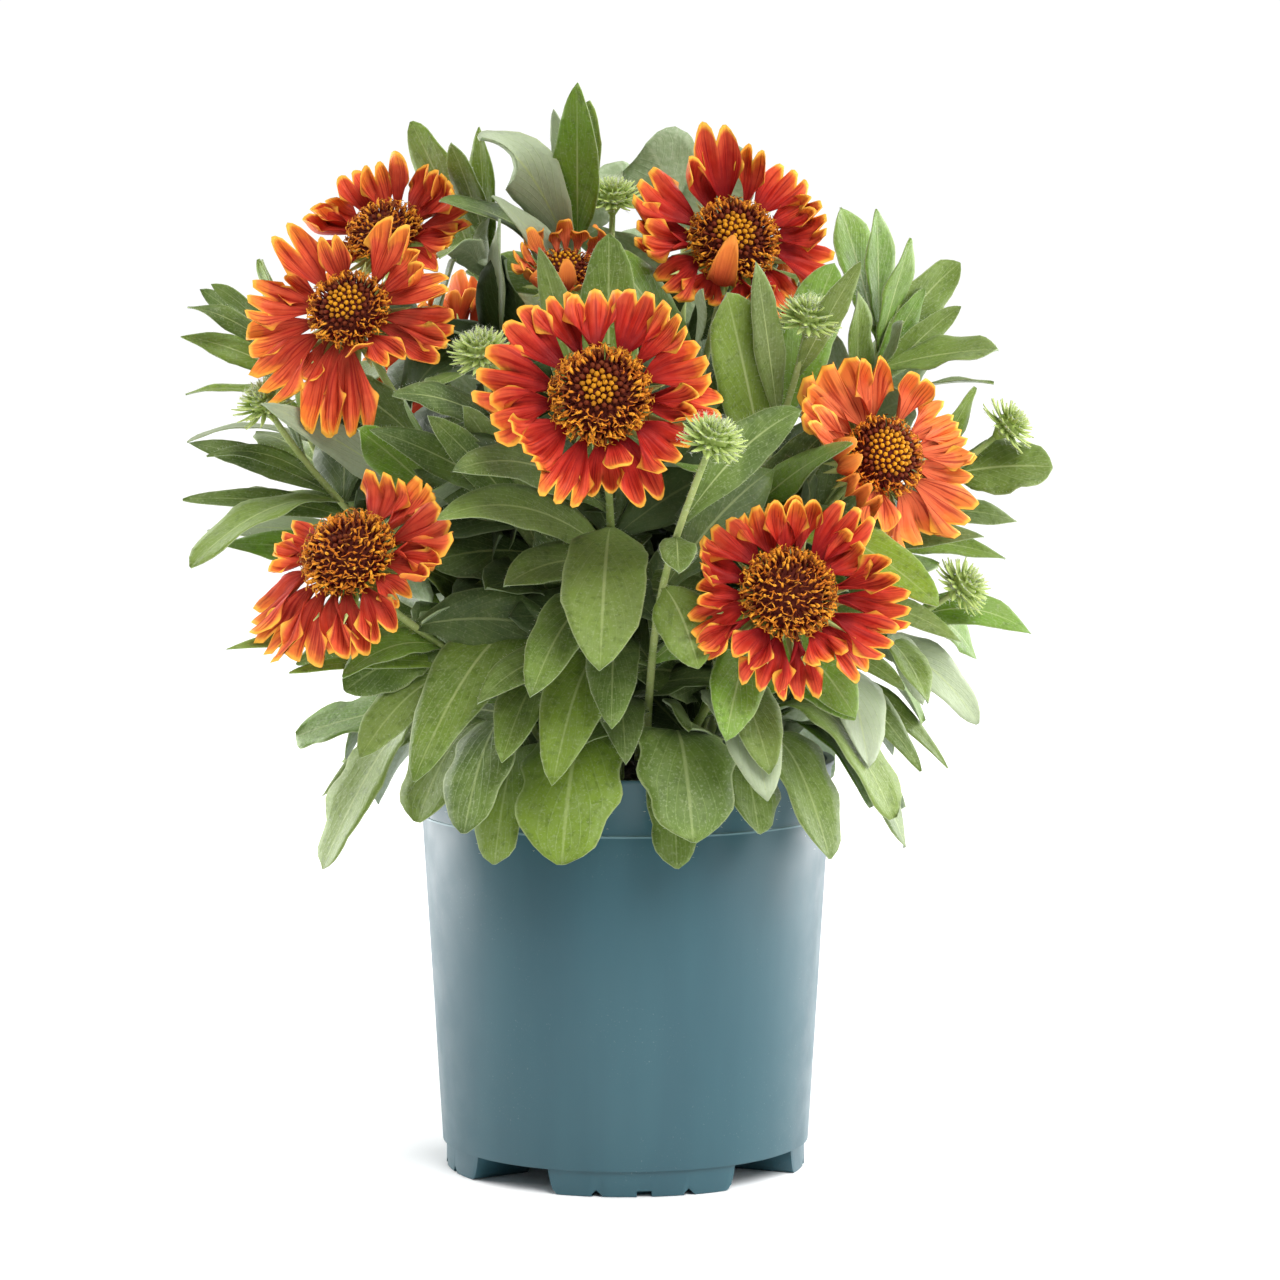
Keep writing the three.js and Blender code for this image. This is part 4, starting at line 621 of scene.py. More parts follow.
# ---- materials -----------------------------------------------------------------------------
class Shade:
    """Nodes of one material, added one after another."""

    def __init__(self, name, roughness, **sockets):
        self.material = bpy.data.materials.new(name)
        self.material.use_nodes = True
        self.tree = self.material.node_tree
        self.shader = self.tree.nodes["Principled BSDF"]
        self.shader.inputs["Roughness"].default_value = roughness
        for key, value in sockets.items():
            self.shader.inputs[key.replace("_", " ")].default_value = value
        self.place = self.add("ShaderNodeTexCoord").outputs["Object"]

    def add(self, kind, inputs=(), **props):
        node = self.tree.nodes.new(kind)
        for key, value in props.items():
            setattr(node, key, value)
        for socket, value in dict(inputs).items():
            if isinstance(value, bpy.types.NodeSocket):
                self.tree.links.new(value, node.inputs[socket])
            else:
                node.inputs[socket].default_value = value
        return node

    def value(self, name):
        return self.add("ShaderNodeAttribute", attribute_name=name).outputs["Fac"]

    def split(self, vector):
        return self.add("ShaderNodeSeparateXYZ", {0: vector}).outputs

    def uv(self):
        return self.split(self.add("ShaderNodeUVMap", uv_map="UVMap").outputs[0])

    def math(self, kind, a, b=0.0):
        return self.add("ShaderNodeMath", {0: a, 1: b}, operation=kind).outputs[0]

    def times(self, a, b):
        return self.math("MULTIPLY", a, b)

    def plus(self, a, b):
        return self.math("ADD", a, b)

    def apart(self, value):
        """How far a value is from a half."""
        return self.math("ABSOLUTE", self.math("SUBTRACT", value, 0.5))

    def noise(self, scale, detail=3.0, vector=None):
        inputs = {"Vector": vector or self.place, "Scale": scale, "Detail": detail}
        return self.add("ShaderNodeTexNoise", inputs).outputs["Fac"]

    def band(self, value, low, high, to_low=0.0, to_high=1.0):
        inputs = {0: value, 1: low, 2: high, 3: to_low, 4: to_high}
        return self.add("ShaderNodeMapRange", inputs, interpolation_type="SMOOTHSTEP").outputs[0]

    def window(self, value, low, full, last, high):
        """One between full and last, nothing under low or over high."""
        return self.times(self.band(value, low, full), self.band(value, last, high, 1.0, 0.0))

    def mix(self, share, a, b):
        a, b = [v if isinstance(v, bpy.types.NodeSocket) else (*v, 1.0) for v in (a, b)]
        return self.add("ShaderNodeMix", {0: share, 6: a, 7: b}, data_type="RGBA").outputs[2]

    def speckle(self, color, tint, share, scale, low, high, detail=3.0):
        """The colour with up to a share of a tint in it, where a noise is between low and high or over."""
        return self.mix(self.band(self.noise(scale, detail), low, high, 0.0, share), color, tint)

    def finish(self, color, height=None, strength=0.3, distance=0.0005, roughness=None):
        self.tree.links.new(color, self.shader.inputs["Base Color"])
        if height is not None:
            inputs = {"Height": height, "Strength": strength, "Distance": distance}
            bump = self.add("ShaderNodeBump", inputs)
            self.tree.links.new(bump.outputs[0], self.shader.inputs["Normal"])
        if roughness is not None:
            self.tree.links.new(roughness, self.shader.inputs["Roughness"])
        return self.material


def leaf_material(look):
    """Downy leaf: pale midrib and margin, side veins, mottling, a paler lower face, young and yellow
    by its values, with painted shade on the leaves deep inside."""
    s = Shade("Downy leaf", 0.5, Specular_IOR_Level=0.3, Sheen_Weight=0.06, Sheen_Roughness=0.5)
    u, v, _ = s.uv()
    off = s.times(s.apart(v), 2.0)
    tone = s.value("tone")
    top = s.mix(s.value("young"), look.old, look.young)
    top = s.mix(s.band(tone, 0.0, 0.5, 0.8, 0.0), top, (0.05, 0.09, 0.022))
    top = s.mix(s.band(tone, 0.55, 0.9, 0.0, 0.5), top, (0.19, 0.245, 0.085))
    top = s.mix(s.times(s.window(tone, 0.38, 0.4, 0.5, 0.52), 0.8), top, (0.12, 0.25, 0.012))
    top = s.speckle(top, (0.17, 0.26, 0.035), 0.4, 45.0, 0.4, 0.65, 2.0)
    top = s.speckle(top, (0.175, 0.235, 0.07), 0.35, 160.0, 0.4, 0.7)
    top = s.speckle(top, (0.06, 0.1, 0.012), 0.45, 320.0, 0.5, 0.3, 4.0)
    top = s.mix(s.band(tone, 0.86, 0.92, 0.0, 0.6), top, (0.42, 0.47, 0.36))
    top = s.speckle(top, (0.38, 0.43, 0.25), 0.3, 1000.0, 0.52, 0.72)
    slant = s.plus(s.times(u, 8.0), s.times(off, -4.2))
    stripe = s.band(s.apart(s.math("FRACT", slant)), 0.0, 0.1, 1.0, 0.0)
    vein = s.times(stripe, s.band(off, 0.7, 0.9, 1.0, 0.0))
    rib = s.times(s.band(off, 0.015, 0.06, 1.0, 0.0), s.band(u, 0.3, 1.0, 1.0, 0.4))
    top = s.mix(s.times(vein, 0.3), top, (0.26, 0.35, 0.11))
    top = s.mix(s.times(rib, 0.75), top, (0.4, 0.47, 0.19))
    top = s.mix(s.band(off, 0.94, 0.99, 0.0, 0.4), top, (0.42, 0.48, 0.22))
    under = s.speckle(look.down, (0.42, 0.49, 0.33), 0.5, 500.0, 0.4, 0.65)
    under = s.mix(s.times(rib, 0.6), under, (0.46, 0.53, 0.32))
    # Painted shade: leaves deep inside, whose tone is under nothing, are darkened almost to black green.
    deep = s.band(tone, -1.0, 0.0, 1.0, 0.0)
    color = s.mix(s.times(deep, 0.85), s.mix(s.value("back"), top, under), (0.025, 0.045, 0.012))
    return s.finish(color, s.plus(s.times(vein, -0.2), s.noise(420.0, 4.0)), 0.8, 0.0005)


def stem_material(look):
    """Pale green stem, mottled, with fine light specks."""
    s = Shade("Stem", 0.6, Specular_IOR_Level=0.2)
    color = s.speckle(look.stem, (0.24, 0.32, 0.09), 1.0, 60.0, 0.35, 0.7)
    color = s.speckle(color, (0.5, 0.54, 0.33), 0.5, 700.0, 0.55, 0.7)
    return s.finish(color, s.noise(900.0, 2.0), 0.5, 0.0003)


def bract_material():
    """Bracts of buds and cups: fresh green, paler and yellower at the tips."""
    s = Shade("Bract", 0.55, Specular_IOR_Level=0.2)
    color = s.mix(s.band(s.value("rise"), 0.1, 0.9), (0.28, 0.38, 0.08), (0.5, 0.6, 0.2))
    color = s.speckle(color, (0.42, 0.48, 0.22), 0.4, 800.0, 0.5, 0.7)
    return s.finish(color, s.noise(1800.0, 2.0), 0.4, 0.0002)


def hair_material():
    """Short white hairs."""
    s = Shade("Hair", 0.5)
    return s.finish(s.mix(s.noise(400.0), (0.62, 0.66, 0.5), (0.8, 0.82, 0.7)))


def ray_material(look):
    """Ray floret: dark crimson throat, red blade, orange lobes with a thin yellow edge, darker veins
    and a pale back."""
    s = Shade("Ray floret", 0.5, Specular_IOR_Level=0.12)
    u, v, _ = s.uv()
    off = s.times(s.apart(v), 2.0)
    tone, pale = s.value("tone"), s.value("pale")
    blur = s.times(s.math("SUBTRACT", s.noise(260.0, 4.0), 0.5), 0.35)
    shift = s.plus(s.times(s.math("SUBTRACT", tone, 0.5), 0.22), s.times(pale, 0.3))
    far = s.plus(s.plus(u, blur), shift)
    color = s.mix(s.band(far, 0.2, 0.62), look.throat, look.blade)
    color = s.mix(s.band(far, 0.55, 0.85), color, (0.67, 0.088, 0.035))
    color = s.mix(s.band(far, 0.82, 1.03), color, (0.84, 0.24, 0.035))
    color = s.mix(s.times(pale, 0.5), color, (0.92, 0.3, 0.1))
    along = {0: s.times(u, 1.2), 1: s.times(v, 26.0), 2: s.times(tone, 9.0)}
    lines = s.noise(1.0, 2.0, s.add("ShaderNodeCombineXYZ", along).outputs[0])
    veined = s.times(s.band(lines, 0.46, 0.66), s.band(u, 0.75, 1.0, 0.75, 0.2))
    color = s.mix(veined, color, (0.26, 0.006, 0.006))
    margin = s.times(s.band(off, 0.88, 0.98), s.band(u, 0.45, 0.85))
    rim = s.math("MAXIMUM", s.band(u, 0.92, 0.985), margin)
    color = s.mix(s.times(rim, 0.9), color, look.edge)
    back = s.mix(s.band(u, 0.5, 1.1), (0.46, 0.04, 0.016), (0.76, 0.22, 0.04))
    color = s.mix(s.times(s.value("back"), 0.75), color, back)
    return s.finish(color, lines, 0.7, 0.0007)


def floret_material(look):
    """Disc floret: dark maroon below and golden at its tip, or a closed golden knob with a dark foot."""
    s = Shade("Disc floret", 0.6, Specular_IOR_Level=0.1)
    rise, lit = s.value("rise"), s.value("lit")
    warm = s.mix(s.value("tone"), look.tip, (0.9, 0.4, 0.035))
    color = s.mix(s.times(s.band(rise, 0.4, 0.8), lit), (0.11, 0.012, 0.008), warm)
    gold = s.mix(lit, (0.16, 0.028, 0.008), (0.68, 0.3, 0.014))
    side = s.mix(lit, (0.1, 0.014, 0.008), (0.46, 0.17, 0.012))
    knob = s.mix(s.band(rise, 0.3, 0.6), side, gold)
    color = s.mix(s.value("shut"), color, knob)
    return s.finish(color, s.noise(1500.0, 2.0), 0.3, 0.0002)


def core_material(look):
    """The dark dome that the florets stand on."""
    s = Shade("Disc core", 0.8, Specular_IOR_Level=0.1)
    color = s.mix(s.noise(700.0), look.core, (0.12, 0.02, 0.01))
    return s.finish(color, s.noise(1200.0), 0.6, 0.0006)


def soil_material(look):
    """Moist dark mix of peat and bark, crumbs of several browns."""
    s = Shade("Potting mix", 0.9)
    color = s.speckle(look.color, (0.06, 0.036, 0.02), 1.0, 400.0, 0.35, 0.7, 5.0)
    color = s.speckle(color, (0.13, 0.08, 0.045), 0.6, 1500.0, 0.62, 0.75, 2.0)
    return s.finish(color, s.noise(900.0, 6.0), 0.9, 0.001)


def pot_material(look):
    """Satin moulded plastic: faint flow marks, fine grain, light scuffs, a painted highlight on the rim's
    step.
    """
    s = Shade("Moulded plastic", 0.3, Specular_IOR_Level=0.4)
    x, y, z = s.split(s.place)
    flow = s.add("ShaderNodeCombineXYZ", {0: x, 1: y, 2: s.times(z, 0.12)}).outputs[0]
    color = s.mix(s.band(s.noise(46.0, 4.0, flow), 0.35, 0.7, 0.0, 0.22), look.color, (0.042, 0.125, 0.15))
    dust = s.times(s.band(s.noise(1300.0, 2.0), 0.66, 0.78), s.band(s.noise(24.0), 0.45, 0.65, 0.0, 0.35))
    color = s.mix(dust, color, (0.25, 0.32, 0.33))
    # Painted highlight: a pale line round the step under the rim band, where its edge would catch the light.
    ledge_highlight = s.window(z, 0.1421, 0.1425, 0.1431, 0.1435)
    color = s.mix(s.times(ledge_highlight, 0.55), color, (0.2, 0.34, 0.38))
    rough = s.band(s.noise(70.0, 5.0), 0.3, 0.7, 0.34, 0.44)
    return s.finish(color, s.noise(2200.0, 2.0), 0.12, 0.0002, rough)


# ---- pot and soil --------------------------------------------------------------------------
def inner_radius(z):
    """The radius of the pot's inside at a height."""
    return min(74.4 + TAPER * (z - FEET_TOP), 81.7) - WALL


def soil_height(x, y):
    mound = SOIL["mound"] * np.exp(-((np.hypot(x, y) / SOIL["spread"]) ** 2))
    return SOIL["edge"] + mound + SOIL["relief"] * np.sin(x * 0.31 + 1) * np.cos(y * 0.27 - 2)


class FLOWER_OT_pot(bpy.types.Operator):
    """Turn the pot's profile round its axis and cut its feet, notches and drain holes"""

    bl_idname = "flower.pot"
    bl_label = "Pot"

    def shell(self, segments):
        """The pot turned round its axis, with a whole ring for a foot."""
        profile = (
            (0, FEET_TOP), (47, FEET_TOP), (47, 0), (72.9, 0), (72.9, FEET_TOP), (74.4, FEET_TOP),
            (82.4, LEDGE), (81.7, LEDGE), (83.6, 163.4), (84.5, 163.4), (84.5, 165), (81.6, 165),
            (79.7, LEDGE), (inner_radius(FLOOR_TOP), FLOOR_TOP), (0, FLOOR_TOP),
        )
        edges = [(k, k + 1) for k in range(len(profile) - 1)]
        made = bpy.data.meshes.new("pot_shell")
        made.from_pydata([(r * MM, 0, z * MM) for r, z in profile], edges, [])
        piece = bpy.data.objects.new("pot_shell", made)
        bpy.context.collection.objects.link(piece)
        take(piece)
        bpy.ops.object.mode_set(mode="EDIT")
        bpy.ops.mesh.select_all(action="SELECT")
        bpy.ops.mesh.spin(steps=segments, angle=math.tau, center=(0, 0, 0), axis=(0, 0, 1))
        bpy.ops.mesh.select_all(action="SELECT")
        bpy.ops.mesh.remove_doubles(threshold=1e-6)
        bpy.ops.object.mode_set(mode="OBJECT")
        outward(piece)
        return piece

    def notch(self, turn, width, tilt):
        """A block that cuts a notch into the outer edge of the feet at a bearing."""
        clear()
        bpy.ops.mesh.primitive_cube_add(size=1)
        block = bpy.context.object
        block.scale = (0.012, width, 0.0044)
        block.rotation_euler = (tilt, 0, 0)
        bake(rotation=True, scale=True)
        block.location = (FEET_RADIUS, 0, 0)
        bake(location=True)
        block.rotation_euler = (0, 0, math.radians(turn))
        bake(rotation=True)
        return block

    def gap(self, turn):
        """A sector that takes the foot ring away between two feet, wider and rounded at the bottom."""
        clear()
        bpy.ops.mesh.primitive_circle_add(vertices=144, radius=0.09, fill_type="NOTHING")
        ring = bpy.context.object
        bpy.ops.object.mode_set(mode="EDIT")
        bpy.ops.mesh.select_all(action="SELECT")
        bpy.ops.mesh.extrude_region_move()
        bpy.ops.transform.resize(value=(0.44, 0.44, 1))
        for sign in (-1, 1):
            angle = math.radians(turn + sign * HALF_GAP)
            side = (sign * math.sin(angle), -sign * math.cos(angle), 0)
            bpy.ops.mesh.select_all(action="SELECT")
            bpy.ops.mesh.bisect(plane_co=(0, 0, 0), plane_no=side, clear_inner=True)
        bpy.ops.mesh.select_all(action="SELECT")
        for _ in FLARE[1:]:
            bpy.ops.mesh.extrude_region_move(TRANSFORM_OT_translate={"value": (0, 0, 1)})
        bpy.ops.object.mode_set(mode="OBJECT")
        middle = math.radians(turn)
        for vertex in ring.data.vertices:
            height, wider = FLARE[round(vertex.co.z)]
            radius = math.hypot(vertex.co.x, vertex.co.y)
            off = math.remainder(math.atan2(vertex.co.y, vertex.co.x) - middle, math.tau) * wider
            vertex.co = (radius * math.cos(middle + off), radius * math.sin(middle + off), height)
        return ring

    def hole(self, reach, turn):
        """A rod that cuts a drain hole through the floor."""
        angle = math.radians(turn)
        spot = (reach * math.cos(angle), reach * math.sin(angle), DRAIN["height"])
        clear()
        bpy.ops.mesh.primitive_cylinder_add(vertices=32, radius=DRAIN["radius"], depth=0.02, location=spot)
        bake(location=True)
        return bpy.context.object

    def execute(self, context):
        look = context.scene.flower_pot
        piece = self.shell(look.segments)
        cutters = []
        for foot in range(FIRST_FOOT, FIRST_FOOT + 360, 90):
            cutters.append(self.gap(foot + 45))
            cutters += [self.notch(foot + turn, width, tilt) for turn, width, tilt in NOTCHES]
            cutters.append(self.hole(DRAIN["reach"], foot + 45))
        cutters.append(self.hole(0, 0))
        for cutter in cutters:
            outward(cutter)
            take(piece)
            cut = piece.modifiers.new("cut", "BOOLEAN")
            cut.operation = "DIFFERENCE"
            cut.solver = "EXACT"
            cut.object = cutter
            bpy.ops.object.modifier_apply(modifier=cut.name)
        drop(*cutters)
        rounding = piece.modifiers.new("rounding", "BEVEL")
        rounding.width = look.fillet
        rounding.segments = 2
        rounding.limit_method = "ANGLE"
        rounding.angle_limit = math.radians(40)
        bpy.ops.object.modifier_apply(modifier=rounding.name)
        bpy.ops.object.shade_smooth_by_angle(angle=math.radians(32))
        if len(piece.data.polygons) < look.segments * 8:
            raise RuntimeError("the pot lost its walls when its feet were cut")
        piece.data.materials.append(pot_material(look))
        settle(piece, "pot")
        return {"FINISHED"}


class FLOWER_OT_soil(bpy.types.Operator):
    """Fill the pot with mix, lumpy on top, and scatter crumbs over it"""

    bl_idname = "flower.soil"
    bl_label = "Potting mix"

    def plug(self, edge, material):
        """The mix itself: a rod with lumps on a top that is cut into fine rings."""
        stalk = rod(64, 3)
        bpy.ops.object.mode_set(mode="EDIT")
        bpy.ops.mesh.select_all(action="DESELECT")
        bpy.ops.object.mode_set(mode="OBJECT")
        for face in stalk.data.polygons:
            face.select = face.normal.z > 0.9
        bpy.ops.object.mode_set(mode="EDIT")
        for _ in range(26):
            bpy.ops.mesh.inset(thickness=0.036)
        bpy.ops.object.mode_set(mode="OBJECT")
        x, y, z = points_of(stalk)
        foot = inner_radius(SOIL["foot"]) - SOIL_GAP
        size = np.where(z > 0.99, edge, foot + (edge - foot) * z)
        px, py = x * size, y * size
        top = (soil_height(px, py) + 0.5 * np.sin(px * 0.9) * np.sin(py * 0.8 + 1)
               + 0.9 * (chance(px * 3.1 + py * 7.7) - 0.5))
        pz = np.where(z > 0.99, top, SOIL["foot"] + (SOIL["shoulder"] - SOIL["foot"]) * z)
        body = repeat("mix_body", stalk, np.stack([px, py, pz], -1)[None], material)
        drop(stalk)
        return body

    def crumbs(self, look, edge, material):
        """Rough squashed balls, each rolled its own way, all over the top."""
        ball = lump()
        k = np.arange(look.crumbs)
        far = np.sqrt(chance(k * 3 + 1)) * (edge - 3.5)
        turn = math.tau * chance(k * 3 + 2)
        x, y = far * np.cos(turn), far * np.sin(turn)
        size = look.size / MM * (0.25 + 0.55 * chance(k * 5 + 3) ** 2)
        squash = (0.6 + chance(k + 0.1), 0.5 + 0.8 * chance(k + 0.3), 0.25 + 0.4 * chance(k + 0.7))
        grid = np.stack(points_of(ball), -1)[None] * np.stack(squash, -1)[:, None] * size[:, None, None]
        grid = grid * (0.75 + 0.5 * chance(k[:, None] * 17.3 + np.arange(grid.shape[1])))[..., None]
        spin = math.tau * chance(k * 7 + 5)[:, None]
        rolled = np.stack([grid[..., 0] * np.cos(spin) - grid[..., 1] * np.sin(spin),
                           grid[..., 0] * np.sin(spin) + grid[..., 1] * np.cos(spin), grid[..., 2]], -1)
        spots = np.stack([x, y, soil_height(x, y) + 0.25 * size], -1)
        made = repeat("mix_crumbs", ball, rolled + spots[:, None], material)
        drop(ball)
        return made

    def execute(self, context):
        look = context.scene.flower_soil
        edge = inner_radius(SOIL["edge"]) - SOIL_GAP
        material = soil_material(look)
        piece = joined("mix", [self.plug(edge, material), self.crumbs(look, edge, material)])
        settle(piece, "potting_mix")
        return {"FINISHED"}


# ---- the plant -----------------------------------------------------------------------------
def head_frame(facing, origin):
    """A head's origin, axis, the way to the top of its face and the way to the right of it."""
    turn, rise = np.radians(facing)
    axis = np.array([np.sin(turn) * np.cos(rise), -np.cos(turn) * np.cos(rise), np.sin(rise)])
    top = unit(UP - axis * axis[2])
    return np.asarray(origin, float), axis, top, np.cross(top, axis)


def on_head(head, clock, radius, height):
    """Points on a head from arrays of clock angles, distances from its axis and heights over its origin."""
    origin, axis, top, right = head
    turn = np.radians(np.asarray(clock, float))[..., None]
    out = np.asarray(radius, float)[..., None]
    height = np.asarray(height, float)[..., None]
    return origin + out * (np.cos(turn) * top + np.sin(turn) * right) + height * axis


def round_head(head, x, y, radius, height):
    """The shape of a rod that stands on a head, from its x and y, its radii and its heights."""
    return on_head(head, np.degrees(np.arctan2(-y, x)), radius, height)[None]


def bloom_head(key):
    """The head of a bloom, with its origin at the collar."""
    centre, facing = BLOOMS[key][:2]
    origin, axis, top, right = head_frame(facing, centre)
    return origin - COLLAR * axis, axis, top, right


def stem_start(root):
    return np.array([root[0], root[1], soil_height(*root) - ROOT_DEPTH])


def stem_line(root, end, axis):
    """The curve of a stem from its root up to its end, which it meets along an axis."""
    start = stem_start(root)
    reach = np.linalg.norm(end - start)
    low = start + (root[0] * 0.6, root[1] * 0.6, reach * 0.42)
    return [start, low, end - 0.34 * reach * np.asarray(axis), end]


def plan():
    """The line, the head and the disc radius of every green node that has them."""
    made = {}
    for key, (_, _, disc, root, _) in BLOOMS.items():
        head = bloom_head(key)
        made[f"stem_{key}"] = (stem_line(root, head[0] - CUP_DEPTH * head[1], head[1]), head, disc)
    for key, (centre, facing, root) in BUDS.items():
        head = head_frame(facing, centre)
        made[f"bud_{key}"] = (stem_line(root, head[0] - BALL_DEPTH * head[1], head[1]), head, 0)
    for key, (top, root) in SHOOTS.items():
        made[f"shoot_{key}"] = (stem_line(root, np.array(top, float), UP), None, 0)
    for key, root in TUFTS.items():
        line = [stem_start(root) + UP * CROWN_HEIGHT * k / 3 for k in range(4)]
        made[f"tuft_{key}"] = (line, None, 0)
    return made


def node_at(line, height):
    """The point of a stem's middle line at a height, or near its end where it stays lower."""
    points = bezier(line, np.arange(61) / 60)
    high = np.nonzero(points[:, 2] >= height)[0]
    if len(high) == 0 or high[0] == 0:
        return bezier(line, 0.97)
    last, following = points[high[0] - 1], points[high[0]]
    return last + (following - last) * (height - last[2]) / (following[2] - last[2])


def moved_tip(root, tip, way):
    """Where a leaf's tip goes when it gives way."""
    turn, lift, length = way
    arm = tip - root
    heading = math.atan2(arm[1], arm[0]) + math.radians(turn)
    rise = math.atan2(arm[2], math.hypot(arm[0], arm[1])) + math.radians(lift)
    return root + polar(np.linalg.norm(arm) * length, heading, rise)


def by_hand(plants, name, height, tip, width, arch, outline="slim"):
    """The row of a leaf that is listed."""
    return name, node_at(plants[name][0], height), np.array(tip, float), width, arch, 0, outline


def leaf_rows(plants):
    """(stem, root, tip, width, arch, roll, outline) of every leaf, listed and by rule."""
    rows = [by_hand(plants, name, *leaf) for name, leaves in LEAVES.items() for leaf in leaves]
    for seed, (name, count, reach, height) in enumerate(BASAL_FILL):
        line = plants[name][0]
        crown = line[-1]
        for i in range(count):
            swing, far, raised, broad = chance(seed * 50 + i * 4 + SEEDS["basal"] + np.arange(4))
            heading = math.atan2(crown[1], crown[0]) + math.radians((i - (count - 1) / 2) * 17 + 6 * swing)
            out = reach * (0.95 + 0.12 * far)
            rise = height + 24 * raised - 6 + 10 * (i % 2)
            tip = np.array([out * math.cos(heading), out * math.sin(heading), rise])
            root = node_at(line, crown[2] - 1.2 - 0.9 * i)
            rows.append((name, root, tip, 22 + 8 * broad, 0.95, 0, "toothed" if i == 2 else "basal"))
    for seed, (name, count, low, high, length, width, spread) in enumerate(FILL):
        for i in range(count):
            swing, lift, far, broad = chance(seed * 50 + i * 4 + SEEDS["fill"] + np.arange(4))
            share = (i + 0.5) / count
            root = node_at(plants[name][0], low + (high - low) * share)
            turn = math.radians(spread) * (((i * 0.618 + swing * 0.12) % 1) - 0.5)
            rise = math.radians(-12 + 62 * share + 16 * (lift - 0.5))
            reach = length * (1.12 - 0.3 * share) * (0.9 + 0.2 * far)
            tip = root + polar(reach, math.atan2(root[1], root[0]) + turn, rise)
            rows.append((name, root, tip, width * (0.85 + 0.3 * broad), 0.16, 50 * (far - 0.5), "slim"))
    return rows


def settled(rows):
    """The rows with the tips that the part's own leaves have. A leaf that the part goes without is
    left out."""
    corners = {}
    for name in {row[0] for row in rows}:
        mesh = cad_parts[name].data
        flat = np.empty(len(mesh.vertices) * 3)
        mesh.vertices.foreach_get("co", flat)
        corners[name] = flat.reshape(-1, 3) / MM
    kept = []
    for name, root, tip, *form in rows:
        for way in WAYS:
            end = moved_tip(root, tip, way)
            if np.linalg.norm(corners[name] - end, axis=1).min() < NEAR:
                kept.append((name, root, end, *form))
                break
    return kept


def inner_leaves(plants):
    """More leaves by rule, deep between the stems, where the part has too few to close the view."""
    rows = []
    names = [name for name in plants if not name.startswith("tuft")]
    for i in range(INNER["tries"]):
        which, where, bearing, lift, far, broad = chance(i * 6 + SEEDS["inner"] + np.arange(6))
        name = names[int(which * len(names))]
        root = bezier(plants[name][0], 0.18 + 0.6 * where)
        tip = root + polar(44 + 26 * far, math.tau * bearing, math.radians(-10 + 65 * lift))
        room = 1 - ((tip[2] - INNER["middle"]) / INNER["height"]) ** 2
        if room < 0 or math.hypot(tip[0], tip[1]) > INNER["radius"] * math.sqrt(room):
            continue
        if tip[1] < -INNER["front"] or tip[2] < INNER["low"]:
            continue
        rows.append((name, root, tip, 19 + 8 * broad, 0.14, 60 * (where - 0.5), "slim"))
    return rows


def leaf_sheet(root, tip, width, arch, roll, outline, u):
    """Midrib points, the ways across and out of the blade, and half widths, at shares of the length."""
    middle = (root + tip) / 2 + UP * arch * np.linalg.norm(tip - root)
    rib = (root, middle, tip)
    way = tangent(rib, u)
    lean = 0.0 if outline in HANGING else 0.8 * (-1 if middle[1] < 30 else 1)
    light = (middle[0] / 120, middle[1] / 120 + lean, 0.8 * (1 - way[:, 2] ** 2))
    side = unit(np.cross(way, np.stack(np.broadcast_arrays(*light), -1)))
    angle = math.radians(roll)
    side = side * math.cos(angle) + np.cross(way, side) * math.sin(angle)
    shares, sizes = np.array(OUTLINES[outline]).T
    return bezier(rib, u), side, np.cross(side, way), FULLER * width / 2 * np.interp(u, shares, sizes)


def leaf_shape(template, root, tip, width, arch, roll, outline, seed, look):
    """A leaf: an arched blade, folded along its thicker midrib and waved along its margins."""
    x, y, z = points_of(template)
    u = 1 - (1 - (x + 1) / 2) ** 1.12
    spot, side, normal, half = leaf_sheet(root, tip, width, arch, roll, outline, u)
    ripple, phase, cup, droop = chance(seed * 7 + np.arange(4))
    edge = np.abs(y)
    open_part = smooth(u / 0.35)
    depth = 0.07 * (0.4 + u) if outline in HANGING else 0.022
    teeth = depth * np.sin(math.tau * (5.5 * u + ripple) + 2.0 * np.sign(y))
    uneven = 0.03 * np.sin(math.tau * (2.3 * u + cup) + 4.0 * np.sign(y))
    half = half * (1 + edge ** 2 * open_part * (teeth + uneven))
    swell = np.sin(math.tau * ((1.6 + 1.2 * ripple) * u + phase) + 1.3 * np.sign(y))
    wave = look.wave * width * edge ** 2 * swell * open_part
    fold = half * (0.05 + 0.1 * cup) * edge + 0.4 * half * (droop - 0.6) * 0.35 * y ** 2
    rib = np.exp(-((y / 0.16) ** 2)) * (1 - u * 0.8)
    body = look.thickness / MM / 2 * (0.3 + 0.7 * np.sqrt(1 - 0.9 * y ** 2)) + rib * 0.35 * (z < 0)
    lift = fold + wave - 0.3 - 0.3 * rib + z * body
    return spot + side * (y * half)[:, None] + normal * lift[:, None]


def hairs_on_leaf(root, tip, width, arch, roll, outline, seed, count):
    """Bases and ways of the hairs along both margins of a leaf."""
    u = np.concatenate([np.linspace(0.04, 0.97, count)] * 2)
    u = u + 0.02 * (chance(seed * 3 + np.arange(2 * count)) - 0.5)
    sign = np.repeat([-1.0, 1.0], count)
    spot, side, normal, half = leaf_sheet(root, tip, width, arch, roll, outline, u)
    jitter = chance(seed * 11 + np.arange(2 * count) * 2.3)[:, None] - 0.5
    ahead = tangent((root, (root + tip) / 2, tip), u)
    base = spot + side * (sign * half * 0.99)[:, None] + normal * (0.05 * half)[:, None]
    return base, side * sign[:, None] + normal * (0.3 + jitter) + ahead * (0.5 + jitter)


def beside(way):
    """Unit vectors square to the ways that look to the back."""
    return unit(np.array([0.0, 1.0, 0.0]) - way * way[:, 1:2])


